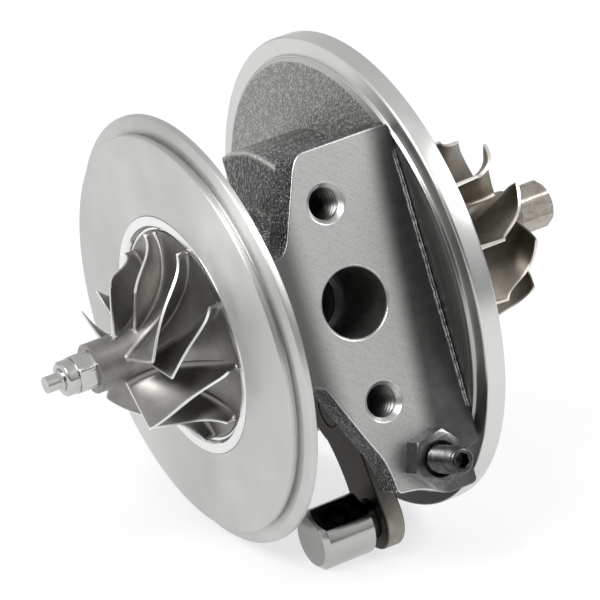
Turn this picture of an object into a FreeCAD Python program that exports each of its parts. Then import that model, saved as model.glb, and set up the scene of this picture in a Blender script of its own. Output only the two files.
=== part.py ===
import FreeCAD, Part
import math
import os
import Sketcher

# Turbocharger cartridge with a swinging vane lever, in millimetres.
# +X runs along the rotor from the compressor to the turbine, and the rotor turns about X.
# The origin is the centre of the compressor disc's front face. -Y leaves the oil drain face.
# +Z runs along the line of the two drain flange threads, and the vane lever hangs towards -Z.

vector = FreeCAD.Vector
doc = FreeCAD.newDocument("TurboCartridge")
sheet = doc.addObject("Spreadsheet::Sheet", "Sizes")

# Housing casting: compressor disc, bearing core and turbine flange, turned about the rotor axis.
housingSizes = {
    "disc_land_radius": "44.1",
    "disc_land_width": "1.4",
    "ring_groove_depth": "1.1",
    "ring_groove_width": "0.8",
    "disc_step_radius": "46.6",
    "disc_rim_front_x": "2.9",
    "disc_rim_radius": "47.6",
    "disc_rim_width": "1.6",
    "disc_back_x": "7.5",
    "disc_back_radius": "41",
    "core_radius": "20",
    "core_end_x": "23.4",
    "waist_radius": "15.6",
    "shoulder_x": "30.6",
    "shoulder_radius": "33",
    "shoulder_draft": "1.2",
    "turbine_face_x": "41.4",
    "turbine_face_radius": "48.9",
    "turbine_step": "0.7",
    "turbine_rim_radius": "53",
    "turbine_rim_chamfer": "0.4",
    "turbine_back_x": "46.9",
    "turbine_pocket_radius": "45",
    "turbine_pocket_depth": "2",
    "shield_seat_radius": "20",
    "shield_seat_height": "1",
    "nose_radius": "13",
    "nose_end_x": "55.2",
}

# Bores of the housing and the pieces that seat in them.
boreSizes = {
    "insert_radius": "26.4",
    "insert_proud": "0.1",
    "insert_flange_x": "4",
    "spigot_radius": "15.6",
    "insert_back_x": "10.9",
    "recess_radius": "23.7",
    "recess_floor_x": "3.4",
    "insert_lip": "0.6",
    "seat_gap": "0.03",
    "running_gap": "0.04",
    "face_gap": "0.06",
    "deflector_width": "1.5",
    "deflector_bore": "10.6",
    "thrust_width": "3",
    "thrust_bore": "6",
    "collar_bore": "10.6",
    "collar_bore_end_x": "18.3",
    "journal_outer_radius": "6",
    "journal_inner_radius": "3.79",
    "journal_length": "6.3",
    "front_journal_x": "18.6",
    "rear_journal_x": "36.3",
    "journal_end_gap": "0.1",
    "clip_width": "0.8",
    "clip_groove_depth": "0.7",
    "clip_height": "1.5",
    "chamber_radius": "11.5",
    "chamber_start_x": "26.8",
    "chamber_end_x": "34.2",
    "rear_chamber_radius": "9.5",
    "rear_chamber_end_x": "49.2",
    "seal_boss_radius": "7.5",
    "seal_gap": "0.08",
    "o_ring_section": "0.9",
    "o_ring_squeeze": "0.05",
}

# Drain block, oil inlet and the threads in the casting.
drainSizes = {
    "drain_face_depth": "38.5",
    "drain_slab_thickness": "8.5",
    "drain_x": "22.5",
    "drain_bore_radius": "7.6",
    "drain_bore_depth": "22.5",
    "drain_throat_radius": "6.4",
    "drain_throat_depth": "28.5",
    "drain_chamfer": "0.4",
    "drain_thread_spacing": "42.8",
    "drain_thread_radius": "3.4",
    "drain_thread_depth": "12.5",
    "drain_thread_chamfer": "0.6",
    "slab_top_z": "33",
    "slab_top_left_x": "18.4",
    "slab_corner_radius": "3",
    "neck_half_height": "14.2",
    "neck_corner_x": "10.9",
    "slab_low_left_x": "16.6",
    "slab_low_corner_z": "28.4",
    "slab_bottom_left_x": "20",
    "slab_bottom_corner_z": "34.2",
    "slab_bottom_z": "41.2",
    "screw_lug_z": "44.6",
    "screw_lug_right_x": "38.2",
    "lug_shoulder_z": "35.6",
    "rib_height": "21.5",
    "web_height": "29",
    "upper_shoulder_x": "24",
    "upper_shoulder_z": "12",
    "upper_shoulder_end_y": "8",
    "lower_shoulder_y": "8.5",
    "lower_shoulder_width": "12",
    "inlet_x": "20",
    "inlet_boss_radius": "9.5",
    "inlet_face_y": "31",
    "inlet_thread_radius": "5",
    "inlet_thread_depth": "11",
    "gallery_radius": "1.5",
}

# Stop screw with its lock nut.
screwSizes = {
    "screw_x": "29",
    "screw_drop": "36",
    "screw_radius": "3",
    "screw_length": "30",
    "screw_reach": "14.3",
    "screw_end_chamfer": "0.5",
    "screw_socket_radius": "1.7",
    "screw_socket_depth": "3",
    "screw_boss_radius": "6",
    "screw_boss_height": "3",
    "lock_nut_width": "11",
    "lock_nut_height": "5",
    "lock_nut_countersink": "0.9",
}

# Vane lever, its pin, shaft and bush.
leverSizes = {
    "pivot_reach": "7",
    "pivot_drop": "25",
    "lever_front_x": "24.4",
    "lever_thickness": "4.5",
    "lever_hub_radius": "8.6",
    "lever_eye_radius": "7.2",
    "pin_reach": "12",
    "pin_drop": "49",
    "pin_radius": "6.7",
    "pin_end_x": "9.7",
    "pin_chamfer": "1.2",
    "pin_head_length": "12",
    "pin_neck_radius": "4.2",
    "pin_flat_height": "5.9",
    "pin_flat_angle": "48.6",
    "pin_hole_radius": "2.6",
    "pin_hole_place": "6",
    "lever_shaft_radius": "3.5",
    "lever_shaft_gap": "0.04",
    "lever_bush_radius": "5.2",
    "lever_bush_lip": "0.5",
    "crank_thickness": "2.4",
    "crank_gap": "0.4",
    "crank_length": "14",
    "crank_angle": "215",
    "crank_hub_radius": "5.5",
    "crank_tip_radius": "3",
}

# Rotor: shaft, collar, oil flinger, wheels and nut.
rotorSizes = {
    "shaft_reach": "32.8",
    "shaft_tip_radius": "1.8",
    "shaft_tip_length": "2.9",
    "thread_radius": "2.5",
    "thread_lead": "0.4",
    "collar_front_x": "12.35",
    "collar_radius": "9",
    "collar_flange": "1.5",
    "journal_radius": "3.75",
    "shaft_relief": "0.3",
    "weld_x": "49.4",
    "weld_radius": "5.2",
    "flinger_radius": "10.1",
    "flinger_disc": "1.3",
    "flinger_sleeve_radius": "7",
    "ring_slot_width": "1.3",
    "ring_slot_depth": "1",
    "ring_side_gap": "0.05",
    "front_ring_x": "5",
    "rear_ring_x": "51.2",
    "bore_gap": "0.02",
    "wheel_back_x": "2.6",
    "wheel_nose_reach": "22.3",
    "wheel_nose_radius": "5.45",
    "wheel_eye_reach": "16",
    "wheel_rim_radius": "23",
    "wheel_rim_hub_x": "0.6",
    "wheel_rim_thickness": "0.8",
    "inducer_reach": "15",
    "inducer_radius": "16.4",
    "wheel_rim_reach": "1.8",
    "impeller_wrap": "57",
    "impeller_clocking": "54",
    "impeller_blade_pairs": "5",
    "splitter_start": "0.16",
    "nut_width": "8",
    "nut_hex_length": "4",
    "nut_collar_radius": "3.85",
    "nut_length": "6.9",
    "turbine_back_disc_x": "58",
    "turbine_disc_radius": "20.8",
    "turbine_disc_rim": "1",
    "turbine_inlet_radius": "21.7",
    "turbine_inlet_front_x": "59",
    "turbine_inlet_end_x": "69",
    "turbine_outlet_x": "78",
    "turbine_outlet_radius": "19",
    "turbine_hub_end_x": "82.5",
    "turbine_hub_end_radius": "5.6",
    "turbine_wrap": "31",
    "turbine_root_wrap": "45",
    "turbine_clocking": "27.5",
    "turbine_blade_count": "9",
    "turbine_tip_x": "91.8",
    "turbine_boss_width": "9.6",
    "boss_fillet": "1",
    "shield_thickness": "0.6",
    "shield_lip_radius": "23.5",
    "shield_cone_radius": "17.8",
    "shield_cone_draft": "1",
    "shield_face_gap": "1.1",
}

# Small trim in the casting.
trimSizes = {
    "dowel_radius": "1.5",
    "dowel_height": "2.5",
    "dowel_inset": "4",
    "dowel_angle": "-50",
}

# Places that follow from the sizes above.
derivedSizes = {
    "wheel_rim_shroud_x": "=-wheel_rim_reach",
    "inducer_x": "=-inducer_reach",
    "wheel_eye_x": "=-wheel_eye_reach",
    "wheel_nose_x": "=-wheel_nose_reach",
    "shaft_tip_x": "=-shaft_reach",
    "pin_z": "=-pin_drop",
    "pin_y": "=-pin_reach",
    "pivot_z": "=-pivot_drop",
    "pivot_y": "=-pivot_reach",
    "screw_z": "=-screw_drop",
    "insert_front_x": "=-insert_proud",
    "ring_groove_radius": "=disc_land_radius - ring_groove_depth",
    "ring_groove_end_x": "=disc_land_width + ring_groove_width",
    "disc_rim_back_x": "=disc_rim_front_x + disc_rim_width",
    "dowel_circle": "=turbine_rim_radius - dowel_inset",
    "shoulder_draft_x": "=shoulder_x + shoulder_draft",
    "shoulder_draft_radius": "=shoulder_radius - shoulder_draft",
    "turbine_rim_front_x": "=turbine_face_x + turbine_step",
    "turbine_rim_chamfer_x": "=turbine_rim_front_x + turbine_rim_chamfer",
    "turbine_rim_chamfer_radius": "=turbine_rim_radius - turbine_rim_chamfer",
    "turbine_rim_end_x": "=turbine_back_x - turbine_rim_chamfer",
    "turbine_pocket_x": "=turbine_back_x - turbine_pocket_depth",
    "shield_seat_x": "=turbine_back_x + shield_seat_height",
    "insert_seat_radius": "=insert_radius + seat_gap",
    "spigot_seat_radius": "=spigot_radius + seat_gap",
    "insert_bore_radius": "=flinger_sleeve_radius + seal_gap",
    "insert_lip_radius": "=recess_radius + insert_lip",
    "insert_lip_x": "=insert_front_x + insert_lip",
    "thrust_x": "=insert_back_x + deflector_width",
    "thrust_floor_x": "=thrust_x + thrust_width",
    "housing_bore_radius": "=journal_outer_radius + running_gap",
    "front_clip_x": "=front_journal_x + journal_length + journal_end_gap",
    "front_clip_end_x": "=front_clip_x + clip_width",
    "rear_clip_end_x": "=rear_journal_x - journal_end_gap",
    "rear_clip_x": "=rear_clip_end_x - clip_width",
    "last_clip_x": "=rear_journal_x + journal_length + journal_end_gap",
    "last_clip_end_x": "=last_clip_x + clip_width",
    "clip_groove_radius": "=housing_bore_radius + clip_groove_depth",
    "clip_inner_radius": "=clip_groove_radius - clip_height",
    "rear_chamber_x": "=last_clip_end_x + clip_width",
    "nose_bore_radius": "=seal_boss_radius + seal_gap",
    "bore_front_x": "=insert_front_x - 1",
    "bore_back_x": "=nose_end_x + 1",
    "o_ring_x": "=(insert_flange_x + insert_back_x) / 2",
    "o_ring_groove_radius": "=spigot_radius - 2 * o_ring_section + o_ring_squeeze",
    "o_ring_groove_x": "=o_ring_x - o_ring_section - o_ring_squeeze",
    "o_ring_groove_end_x": "=o_ring_x + o_ring_section + o_ring_squeeze",
    "flinger_front_x": "=collar_front_x - flinger_disc",
    "flinger_bore_radius": "=thread_radius + bore_gap",
    "front_slot_x": "=front_ring_x - ring_side_gap",
    "front_slot_end_x": "=front_ring_x + ring_slot_width - ring_side_gap",
    "rear_slot_x": "=rear_ring_x - ring_side_gap",
    "rear_slot_end_x": "=rear_ring_x + ring_slot_width - ring_side_gap",
    "front_slot_radius": "=flinger_sleeve_radius - ring_slot_depth",
    "rear_slot_radius": "=seal_boss_radius - ring_slot_depth",
    "front_ring_end_x": "=front_slot_end_x - ring_side_gap",
    "rear_ring_end_x": "=rear_slot_end_x - ring_side_gap",
    "front_ring_inner": "=front_slot_radius + ring_side_gap * 4",
    "rear_ring_inner": "=rear_slot_radius + ring_side_gap * 4",
    "collar_spool_radius": "=thrust_bore - running_gap",
    "collar_flange_x": "=thrust_floor_x + face_gap",
    "collar_end_x": "=collar_flange_x + collar_flange",
    "shaft_relief_radius": "=journal_radius - shaft_relief",
    "front_journal_end_x": "=front_clip_end_x + clip_width",
    "rear_journal_start_x": "=rear_clip_x - clip_width",
    "rear_journal_end_x": "=last_clip_end_x + clip_width",
    "shaft_tip_end_x": "=shaft_tip_x + shaft_tip_length",
    "thread_start_x": "=shaft_tip_end_x + thread_lead",
    "nut_end_x": "=wheel_nose_x - nut_length",
    "lever_back_x": "=lever_front_x + lever_thickness",
    "bush_front_x": "=shoulder_x - lever_bush_lip",
    "bush_end_x": "=turbine_pocket_x",
    "crank_front_x": "=turbine_pocket_x + crank_gap",
    "crank_end_x": "=crank_front_x + crank_thickness",
    "lever_bush_bore": "=lever_shaft_radius + lever_shaft_gap",
    "pin_shoulder_x": "=pin_end_x + pin_head_length",
    "screw_tip_depth": "=drain_face_depth + screw_reach",
    "screw_inner_depth": "=screw_tip_depth - screw_length",
    "slab_back_depth": "=drain_face_depth - drain_slab_thickness",
    "shield_back_x": "=shield_seat_x + shield_thickness",
    "shield_face_x": "=turbine_back_disc_x - shield_face_gap",
    "shield_inner_face_x": "=shield_face_x - shield_thickness",
    "shield_hole_radius": "=seal_boss_radius + shield_face_gap",
    "shield_face_radius": "=shield_cone_radius - shield_cone_draft",
    "shield_cone_inner": "=shield_cone_radius - shield_thickness",
    "shield_face_inner": "=shield_face_radius - shield_thickness",
}

row = 0
for group in (housingSizes, boreSizes, drainSizes, screwSizes, leverSizes, rotorSizes, trimSizes, derivedSizes):
    for alias, text in group.items():
        row += 1
        sheet.set(f"A{row}", alias)
        sheet.setAlias(f"B{row}", alias)
        sheet.set(f"B{row}", text)
doc.recompute()


def size(name):
    """The sheet's value of a named size, negative where the name has a minus sign."""
    if name.startswith("-"):
        return -float(sheet.get(name[1:]))
    return float(sheet.get(name))


def formula(name):
    """The expression that binds a property to a named size."""
    if name.startswith("-"):
        return "-Sizes." + name[1:]
    return "Sizes." + name


def outlineSketch(body, label, role, corners):
    """A closed sketch of straight lines whose corners are dimensioned from the sheet."""
    sketch = body.newObject("Sketcher::SketchObject", label + "_outline")
    planes = [plane for plane in body.Origin.OriginFeatures if plane.Role == role]
    sketch.AttachmentSupport = (planes[0], [""])
    sketch.MapMode = "FlatFace"
    places = [vector(*[0 if name == "0" else size(name) for name in corner], 0) for corner in corners]
    for start, end in zip(places, places[1:] + places[:1]):
        sketch.addGeometry(Part.LineSegment(start, end), False)
    for index in range(len(corners)):
        sketch.addConstraint(Sketcher.Constraint("Coincident", index, 1, (index or len(corners)) - 1, 2))
    for index, corner in enumerate(corners):
        for kind, axis, name in (("DistanceX", -2, corner[0]), ("DistanceY", -1, corner[1])):
            if name == "0":
                sketch.addConstraint(Sketcher.Constraint("PointOnObject", index, 1, axis))
                continue
            place = sketch.addConstraint(Sketcher.Constraint(kind, -1, 1, index, 1, size(name)))
            sketch.setExpression(f"Constraints[{place}]", formula(name))
    return sketch


def turned(label, corners):
    """A piece turned about the rotor axis, from (x, radius) corners."""
    body = doc.addObject("PartDesign::Body", label)
    sketch = outlineSketch(body, label, "XZ_Plane", corners)
    turning = body.newObject("PartDesign::Revolution", label + "_turning")
    turning.Profile = sketch
    turning.ReferenceAxis = (sketch, ["H_Axis"])
    turning.Angle = 360
    sketch.Visibility = False
    return body


def plate(label, role, corners, length, offset):
    """A flat plate: a sketch on an origin plane, lifted by offset and padded by length."""
    body = doc.addObject("PartDesign::Body", label)
    sketch = outlineSketch(body, label, role, corners)
    sketch.setExpression("AttachmentOffset.Base.z", formula(offset))
    pad = body.newObject("PartDesign::Pad", label + "_pad")
    pad.Profile = sketch
    pad.setExpression("Length", formula(length))
    return body


def rod(label, radius, length, base, direction):
    """A round bar whose size and place are bound to the sheet."""
    bar = doc.addObject("Part::Cylinder", label)
    bar.setExpression("Radius", formula(radius))
    bar.setExpression("Height", length)
    bar.Placement = FreeCAD.Placement(vector(), FreeCAD.Rotation(vector(0, 0, 1), direction))
    for letter, place in zip("xyz", base):
        if place != "0":
            bar.setExpression("Placement.Base." + letter, place)
    return bar


def taper(label, wide, narrow, height, base, direction):
    """A cone frustum, used as a chamfer on a hole or a drafted boss."""
    cone = doc.addObject("Part::Cone", label)
    cone.setExpression("Radius1", wide)
    cone.setExpression("Radius2", narrow)
    cone.setExpression("Height", height)
    cone.Placement = FreeCAD.Placement(vector(), FreeCAD.Rotation(vector(0, 0, 1), direction))
    for letter, place in zip("xyz", base):
        if place != "0":
            cone.setExpression("Placement.Base." + letter, place)
    return cone


def block(label, lengths, corner):
    """A box with the given lengths along X, Y and Z from its low corner."""
    box = doc.addObject("Part::Box", label)
    for name, length in zip(("Length", "Width", "Height"), lengths):
        box.setExpression(name, length)
    for letter, place in zip("xyz", corner):
        if place != "0":
            box.setExpression("Placement.Base." + letter, place)
    return box


def common(label, pieces):
    shared = doc.addObject("Part::MultiCommon", label)
    shared.Shapes = pieces
    return shared


def fuse(label, pieces):
    joined = doc.addObject("Part::MultiFuse", label)
    joined.Shapes = pieces
    return joined


def cut(label, base, tools):
    """The base less all the tools, which are fused first where there are several."""
    difference = doc.addObject("Part::Cut", label)
    difference.Base = base
    difference.Tool = tools[0] if len(tools) == 1 else fuse(label + "_tools", tools)
    return difference


alongX = vector(1, 0, 0)
alongY = vector(0, 1, 0)
outOfDrain = vector(0, -1, 0)


def roundedEdges(label, base, radii):
    """The base with its straight edges along Y rounded, each by the radius given for its (x, z) corner."""
    doc.recompute()
    rounded = doc.addObject("Part::Fillet", label)
    rounded.Base = base
    edges = []
    for index, edge in enumerate(base.Shape.Edges):
        start, end = (corner.Point for corner in (edge.Vertexes[0], edge.Vertexes[-1]))
        if abs(start.x - end.x) + abs(start.z - end.z) > 0.001 or abs(start.y - end.y) < 0.001:
            continue
        for x, z, radius in radii:
            if abs(start.x - x) + abs(start.z - z) < 0.01:
                edges.append((index + 1, radius, radius))
    rounded.Edges = edges
    return rounded


def housingCasting():
    """Core, drain flange and turbine flange of the one casting, bored together and then parted.

    The compressor disc is the fourth piece of it. They lie face to face, so that each keeps a plain form.
    """
    casting = turned("housing_turning", [
        ("insert_flange_x", "0"),
        ("insert_flange_x", "core_radius"),
        ("core_end_x", "core_radius"),
        ("core_end_x", "waist_radius"),
        ("shoulder_x", "waist_radius"),
        ("shoulder_x", "shoulder_draft_radius"),
        ("shoulder_draft_x", "shoulder_radius"),
        ("turbine_face_x", "shoulder_radius"),
        ("turbine_face_x", "turbine_face_radius"),
        ("turbine_rim_front_x", "turbine_face_radius"),
        ("turbine_rim_front_x", "turbine_rim_chamfer_radius"),
        ("turbine_rim_chamfer_x", "turbine_rim_radius"),
        ("turbine_rim_end_x", "turbine_rim_radius"),
        ("turbine_back_x", "turbine_rim_chamfer_radius"),
        ("turbine_back_x", "turbine_pocket_radius"),
        ("turbine_pocket_x", "turbine_pocket_radius"),
        ("turbine_pocket_x", "shield_seat_radius"),
        ("shield_seat_x", "shield_seat_radius"),
        ("shield_seat_x", "nose_radius"),
        ("nose_end_x", "nose_radius"),
        ("nose_end_x", "0"),
    ])
    bore = turned("housing_bore", [
        ("bore_front_x", "0"),
        ("bore_front_x", "insert_seat_radius"),
        ("insert_flange_x", "insert_seat_radius"),
        ("insert_flange_x", "spigot_seat_radius"),
        ("thrust_floor_x", "spigot_seat_radius"),
        ("thrust_floor_x", "collar_bore"),
        ("collar_bore_end_x", "collar_bore"),
        ("collar_bore_end_x", "housing_bore_radius"),
        ("front_clip_x", "housing_bore_radius"),
        ("front_clip_x", "clip_groove_radius"),
        ("front_clip_end_x", "clip_groove_radius"),
        ("front_clip_end_x", "housing_bore_radius"),
        ("chamber_start_x", "housing_bore_radius"),
        ("chamber_start_x", "chamber_radius"),
        ("chamber_end_x", "chamber_radius"),
        ("chamber_end_x", "housing_bore_radius"),
        ("rear_clip_x", "housing_bore_radius"),
        ("rear_clip_x", "clip_groove_radius"),
        ("rear_clip_end_x", "clip_groove_radius"),
        ("rear_clip_end_x", "housing_bore_radius"),
        ("last_clip_x", "housing_bore_radius"),
        ("last_clip_x", "clip_groove_radius"),
        ("last_clip_end_x", "clip_groove_radius"),
        ("last_clip_end_x", "housing_bore_radius"),
        ("rear_chamber_x", "housing_bore_radius"),
        ("rear_chamber_x", "rear_chamber_radius"),
        ("rear_chamber_end_x", "rear_chamber_radius"),
        ("rear_chamber_end_x", "nose_bore_radius"),
        ("bore_back_x", "nose_bore_radius"),
        ("bore_back_x", "0"),
    ])
    slab = plate("drain_slab", "XZ_Plane", [
        ("slab_top_left_x", "slab_top_z"),
        ("turbine_face_x", "slab_top_z"),
        ("turbine_face_x", "-lug_shoulder_z"),
        ("screw_lug_right_x", "-lug_shoulder_z"),
        ("screw_lug_right_x", "-screw_lug_z"),
        ("screw_x", "-screw_lug_z"),
        ("core_end_x", "-slab_bottom_z"),
        ("slab_bottom_left_x", "-slab_bottom_z"),
        ("slab_bottom_left_x", "-slab_bottom_corner_z"),
        ("slab_low_left_x", "-slab_low_corner_z"),
        ("neck_corner_x", "-neck_half_height"),
        ("neck_corner_x", "neck_half_height"),
    ], "drain_slab_thickness", "slab_back_depth")
    corner = size("slab_corner_radius")
    slab = roundedEdges("drain_slab_rounded", slab, [
        (size("slab_top_left_x"), size("slab_top_z"), corner),
        (size("neck_corner_x"), size("neck_half_height"), corner / 2),
        (size("neck_corner_x"), size("-neck_half_height"), corner / 2),
        (size("slab_low_left_x"), size("-slab_low_corner_z"), corner * 2),
        (size("slab_bottom_left_x"), size("-slab_bottom_corner_z"), corner * 2),
        (size("slab_bottom_left_x"), size("-slab_bottom_z"), corner / 2),
        (size("screw_x"), size("-screw_lug_z"), corner),
        (size("screw_lug_right_x"), size("-screw_lug_z"), corner / 2),
    ])
    neck = block("drain_neck", ("Sizes.turbine_face_x - Sizes.disc_back_x",
                                "Sizes.drain_face_depth - Sizes.drain_chamfer", "2 * Sizes.neck_half_height"),
                 ("Sizes.disc_back_x", "-Sizes.drain_face_depth", "-Sizes.neck_half_height"))
    rib = block("drain_rib", ("Sizes.shoulder_x - Sizes.upper_shoulder_x",
                              "Sizes.slab_back_depth - Sizes.neck_half_height", "Sizes.rib_height"),
                ("Sizes.upper_shoulder_x", "-Sizes.slab_back_depth", "0"))
    web = block("drain_web", ("Sizes.turbine_face_x - Sizes.shoulder_x",
                              "Sizes.slab_back_depth - Sizes.neck_half_height", "Sizes.web_height"),
                ("Sizes.shoulder_x", "-Sizes.slab_back_depth", "0"))
    shoulder = common("upper_shoulder", [
        rod("upper_shoulder_round", "shoulder_radius", "Sizes.shoulder_x - Sizes.upper_shoulder_x + 1",
            ("Sizes.upper_shoulder_x", "0", "0"), alongX),
        block("upper_shoulder_block", ("Sizes.shoulder_x - Sizes.upper_shoulder_x + 1",
                                       "Sizes.slab_back_depth + Sizes.upper_shoulder_end_y",
                                       "Sizes.shoulder_radius"),
              ("Sizes.upper_shoulder_x", "-Sizes.slab_back_depth", "Sizes.upper_shoulder_z")),
    ])
    lowerShoulder = common("lower_shoulder", [
        rod("lower_shoulder_round", "shoulder_radius", "Sizes.shoulder_x - Sizes.upper_shoulder_x + 1",
            ("Sizes.upper_shoulder_x", "0", "0"), alongX),
        block("lower_shoulder_block", ("Sizes.shoulder_x - Sizes.upper_shoulder_x + 1",
                                       "Sizes.lower_shoulder_width",
                                       "Sizes.shoulder_radius - Sizes.upper_shoulder_z"),
              ("Sizes.upper_shoulder_x", "Sizes.lower_shoulder_y", "-Sizes.shoulder_radius")),
    ])
    boss = taper("inlet_boss", "Sizes.inlet_boss_radius + Sizes.shoulder_draft", "Sizes.inlet_boss_radius",
                 "Sizes.inlet_face_y - Sizes.waist_radius / 2",
                 ("Sizes.inlet_x", "Sizes.waist_radius / 2", "0"), alongY)
    screwBoss = rod("screw_boss", "screw_boss_radius", "Sizes.screw_boss_height + 1",
                    ("Sizes.screw_x", "-Sizes.slab_back_depth + Sizes.screw_boss_height", "Sizes.screw_z"),
                    outOfDrain)
    solid = fuse("housing_casting", [casting, slab, neck, rib, web, shoulder, lowerShoulder, boss,
                                    screwBoss])

    drain = rod("drain_bore", "drain_bore_radius", "Sizes.drain_bore_depth + 1",
                ("Sizes.drain_x", "-Sizes.drain_face_depth - 1", "0"), alongY)
    drainEdge = taper("drain_edge", "Sizes.drain_bore_radius + Sizes.drain_chamfer", "Sizes.drain_bore_radius",
                      "Sizes.drain_chamfer", ("Sizes.drain_x", "-Sizes.drain_face_depth", "0"), alongY)
    throat = rod("drain_throat", "drain_throat_radius", "Sizes.drain_throat_depth + 1",
                 ("Sizes.drain_x", "-Sizes.drain_face_depth - 1", "0"), alongY)
    tools = [bore, drain, drainEdge, throat]
    for name, side in (("upper", ""), ("lower", "-")):
        height = side + "Sizes.drain_thread_spacing / 2"
        tools.append(rod(name + "_thread", "drain_thread_radius", "Sizes.drain_thread_depth + 1",
                         ("Sizes.drain_x", "-Sizes.drain_face_depth - 1", height), alongY))
        tools.append(taper(name + "_thread_edge", "Sizes.drain_thread_radius + Sizes.drain_thread_chamfer",
                           "Sizes.drain_thread_radius", "Sizes.drain_thread_chamfer",
                           ("Sizes.drain_x", "-Sizes.drain_face_depth", height), alongY))
    tools.append(rod("screw_thread", "screw_radius", "Sizes.screw_length",
                     ("Sizes.screw_x", "-Sizes.screw_tip_depth", "Sizes.screw_z"), alongY))
    tools.append(rod("lever_bore", "lever_bush_radius", "Sizes.turbine_back_x - Sizes.shoulder_x + 1",
                     ("Sizes.shoulder_x - 1", "Sizes.pivot_y", "Sizes.pivot_z"), alongX))
    tools.append(rod("inlet_thread", "inlet_thread_radius", "Sizes.inlet_thread_depth",
                     ("Sizes.inlet_x", "Sizes.inlet_face_y - Sizes.inlet_thread_depth", "0"), alongY))
    tools.append(rod("inlet_drilling", "gallery_radius", "Sizes.inlet_face_y - Sizes.journal_inner_radius",
                     ("Sizes.inlet_x", "Sizes.journal_inner_radius", "0"), alongY))
    tools.append(rod("dowel_hole", "dowel_radius", "Sizes.turbine_back_x - Sizes.turbine_rim_front_x - 1",
                     ("Sizes.turbine_rim_front_x + 1", "Sizes.dowel_circle * cos(Sizes.dowel_angle)",
                      "Sizes.dowel_circle * sin(Sizes.dowel_angle)"), alongX))
    bored = cut("housing_bored", solid, tools)
    drainEnd = fuse("drain_end", [screwBoss, block("drain_end_block", (
        "Sizes.turbine_face_x", "Sizes.drain_face_depth", "4 * Sizes.screw_lug_z"),
        ("0", "-Sizes.slab_back_depth - Sizes.drain_face_depth", "-2 * Sizes.screw_lug_z"))])
    turbineEnd = block("turbine_end", (
        "Sizes.nose_end_x", "4 * Sizes.turbine_rim_radius", "4 * Sizes.turbine_rim_radius"),
        ("Sizes.turbine_face_x", "-2 * Sizes.turbine_rim_radius", "-2 * Sizes.turbine_rim_radius"))
    return [cut("bearing_housing", bored, [drainEnd, turbineEnd]), common("drain_flange", [bored, drainEnd]),
            common("turbine_flange", [bored, turbineEnd])]


def compressorDisc():
    """The disc at the compressor end, with its register and ring groove, seated on the core."""
    return turned("compressor_disc", [
        ("0", "insert_seat_radius"),
        ("0", "disc_land_radius"),
        ("disc_land_width", "disc_land_radius"),
        ("disc_land_width", "ring_groove_radius"),
        ("ring_groove_end_x", "ring_groove_radius"),
        ("ring_groove_end_x", "disc_step_radius"),
        ("disc_rim_front_x", "disc_rim_radius"),
        ("disc_rim_back_x", "disc_rim_radius"),
        ("disc_back_x", "disc_back_radius"),
        ("disc_back_x", "core_radius"),
        ("insert_flange_x", "core_radius"),
        ("insert_flange_x", "insert_seat_radius"),
    ])


def compressorInsert():
    """The bright ring that closes the housing behind the compressor wheel and carries the oil seal."""
    return turned("compressor_insert", [
        ("insert_front_x", "insert_lip_radius"),
        ("insert_front_x", "insert_radius"),
        ("insert_flange_x", "insert_radius"),
        ("insert_flange_x", "spigot_radius"),
        ("o_ring_groove_x", "spigot_radius"),
        ("o_ring_groove_x", "o_ring_groove_radius"),
        ("o_ring_groove_end_x", "o_ring_groove_radius"),
        ("o_ring_groove_end_x", "spigot_radius"),
        ("insert_back_x", "spigot_radius"),
        ("insert_back_x", "insert_bore_radius"),
        ("recess_floor_x", "insert_bore_radius"),
        ("recess_floor_x", "recess_radius"),
        ("insert_lip_x", "recess_radius"),
    ])


def ringPiece(label, start, end, inner, outer):
    """A plain turned ring."""
    return turned(label, [(start, inner), (start, outer), (end, outer), (end, inner)])


def oRing():
    ring = doc.addObject("Part::Torus", "insert_o_ring")
    ring.setExpression("Radius1", "Sizes.spigot_radius - Sizes.o_ring_section + Sizes.o_ring_squeeze / 2")
    ring.setExpression("Radius2", "Sizes.o_ring_section - Sizes.o_ring_squeeze / 2")
    ring.Placement = FreeCAD.Placement(vector(), FreeCAD.Rotation(vector(0, 0, 1), alongX))
    ring.setExpression("Placement.Base.x", "Sizes.o_ring_x")
    return ring


def bearingClips():
    """Three snap rings in the grooves of the bearing bore, which hold the floating bearings in place."""
    clips = [ringPiece(f"clip_{index}", start, end, "clip_inner_radius", "clip_groove_radius")
             for index, (start, end) in enumerate((("front_clip_x", "front_clip_end_x"),
                                                   ("rear_clip_x", "rear_clip_end_x"),
                                                   ("last_clip_x", "last_clip_end_x")))]
    group = doc.addObject("Part::Compound", "bearing_snap_rings")
    group.Links = clips
    return group


def journalBearing(label, start):
    """A fully floating bronze bush with six oil holes through its wall."""
    wall = rod(label + "_wall", "journal_outer_radius", "Sizes.journal_length",
               (formula(start), "0", "0"), alongX)
    holes = [rod(label + "_bore", "journal_inner_radius", "Sizes.journal_length + 2",
                 (formula(start) + " - 1", "0", "0"), alongX)]
    for index in range(3):
        angle = math.radians(60 * index)
        hole = rod(f"{label}_hole_{index}", "gallery_radius", "4 * Sizes.journal_outer_radius",
                   (f"Sizes.{start} + Sizes.journal_length / 2", "0", "0"),
                   vector(0, math.cos(angle), math.sin(angle)))
        hole.setExpression("Radius", "Sizes.gallery_radius / 2")
        hole.setExpression("Placement.Base.y", f"-2 * Sizes.journal_outer_radius * cos({60 * index})")
        hole.setExpression("Placement.Base.z", f"-2 * Sizes.journal_outer_radius * sin({60 * index})")
        holes.append(hole)
    return cut(label, wall, holes)


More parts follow.
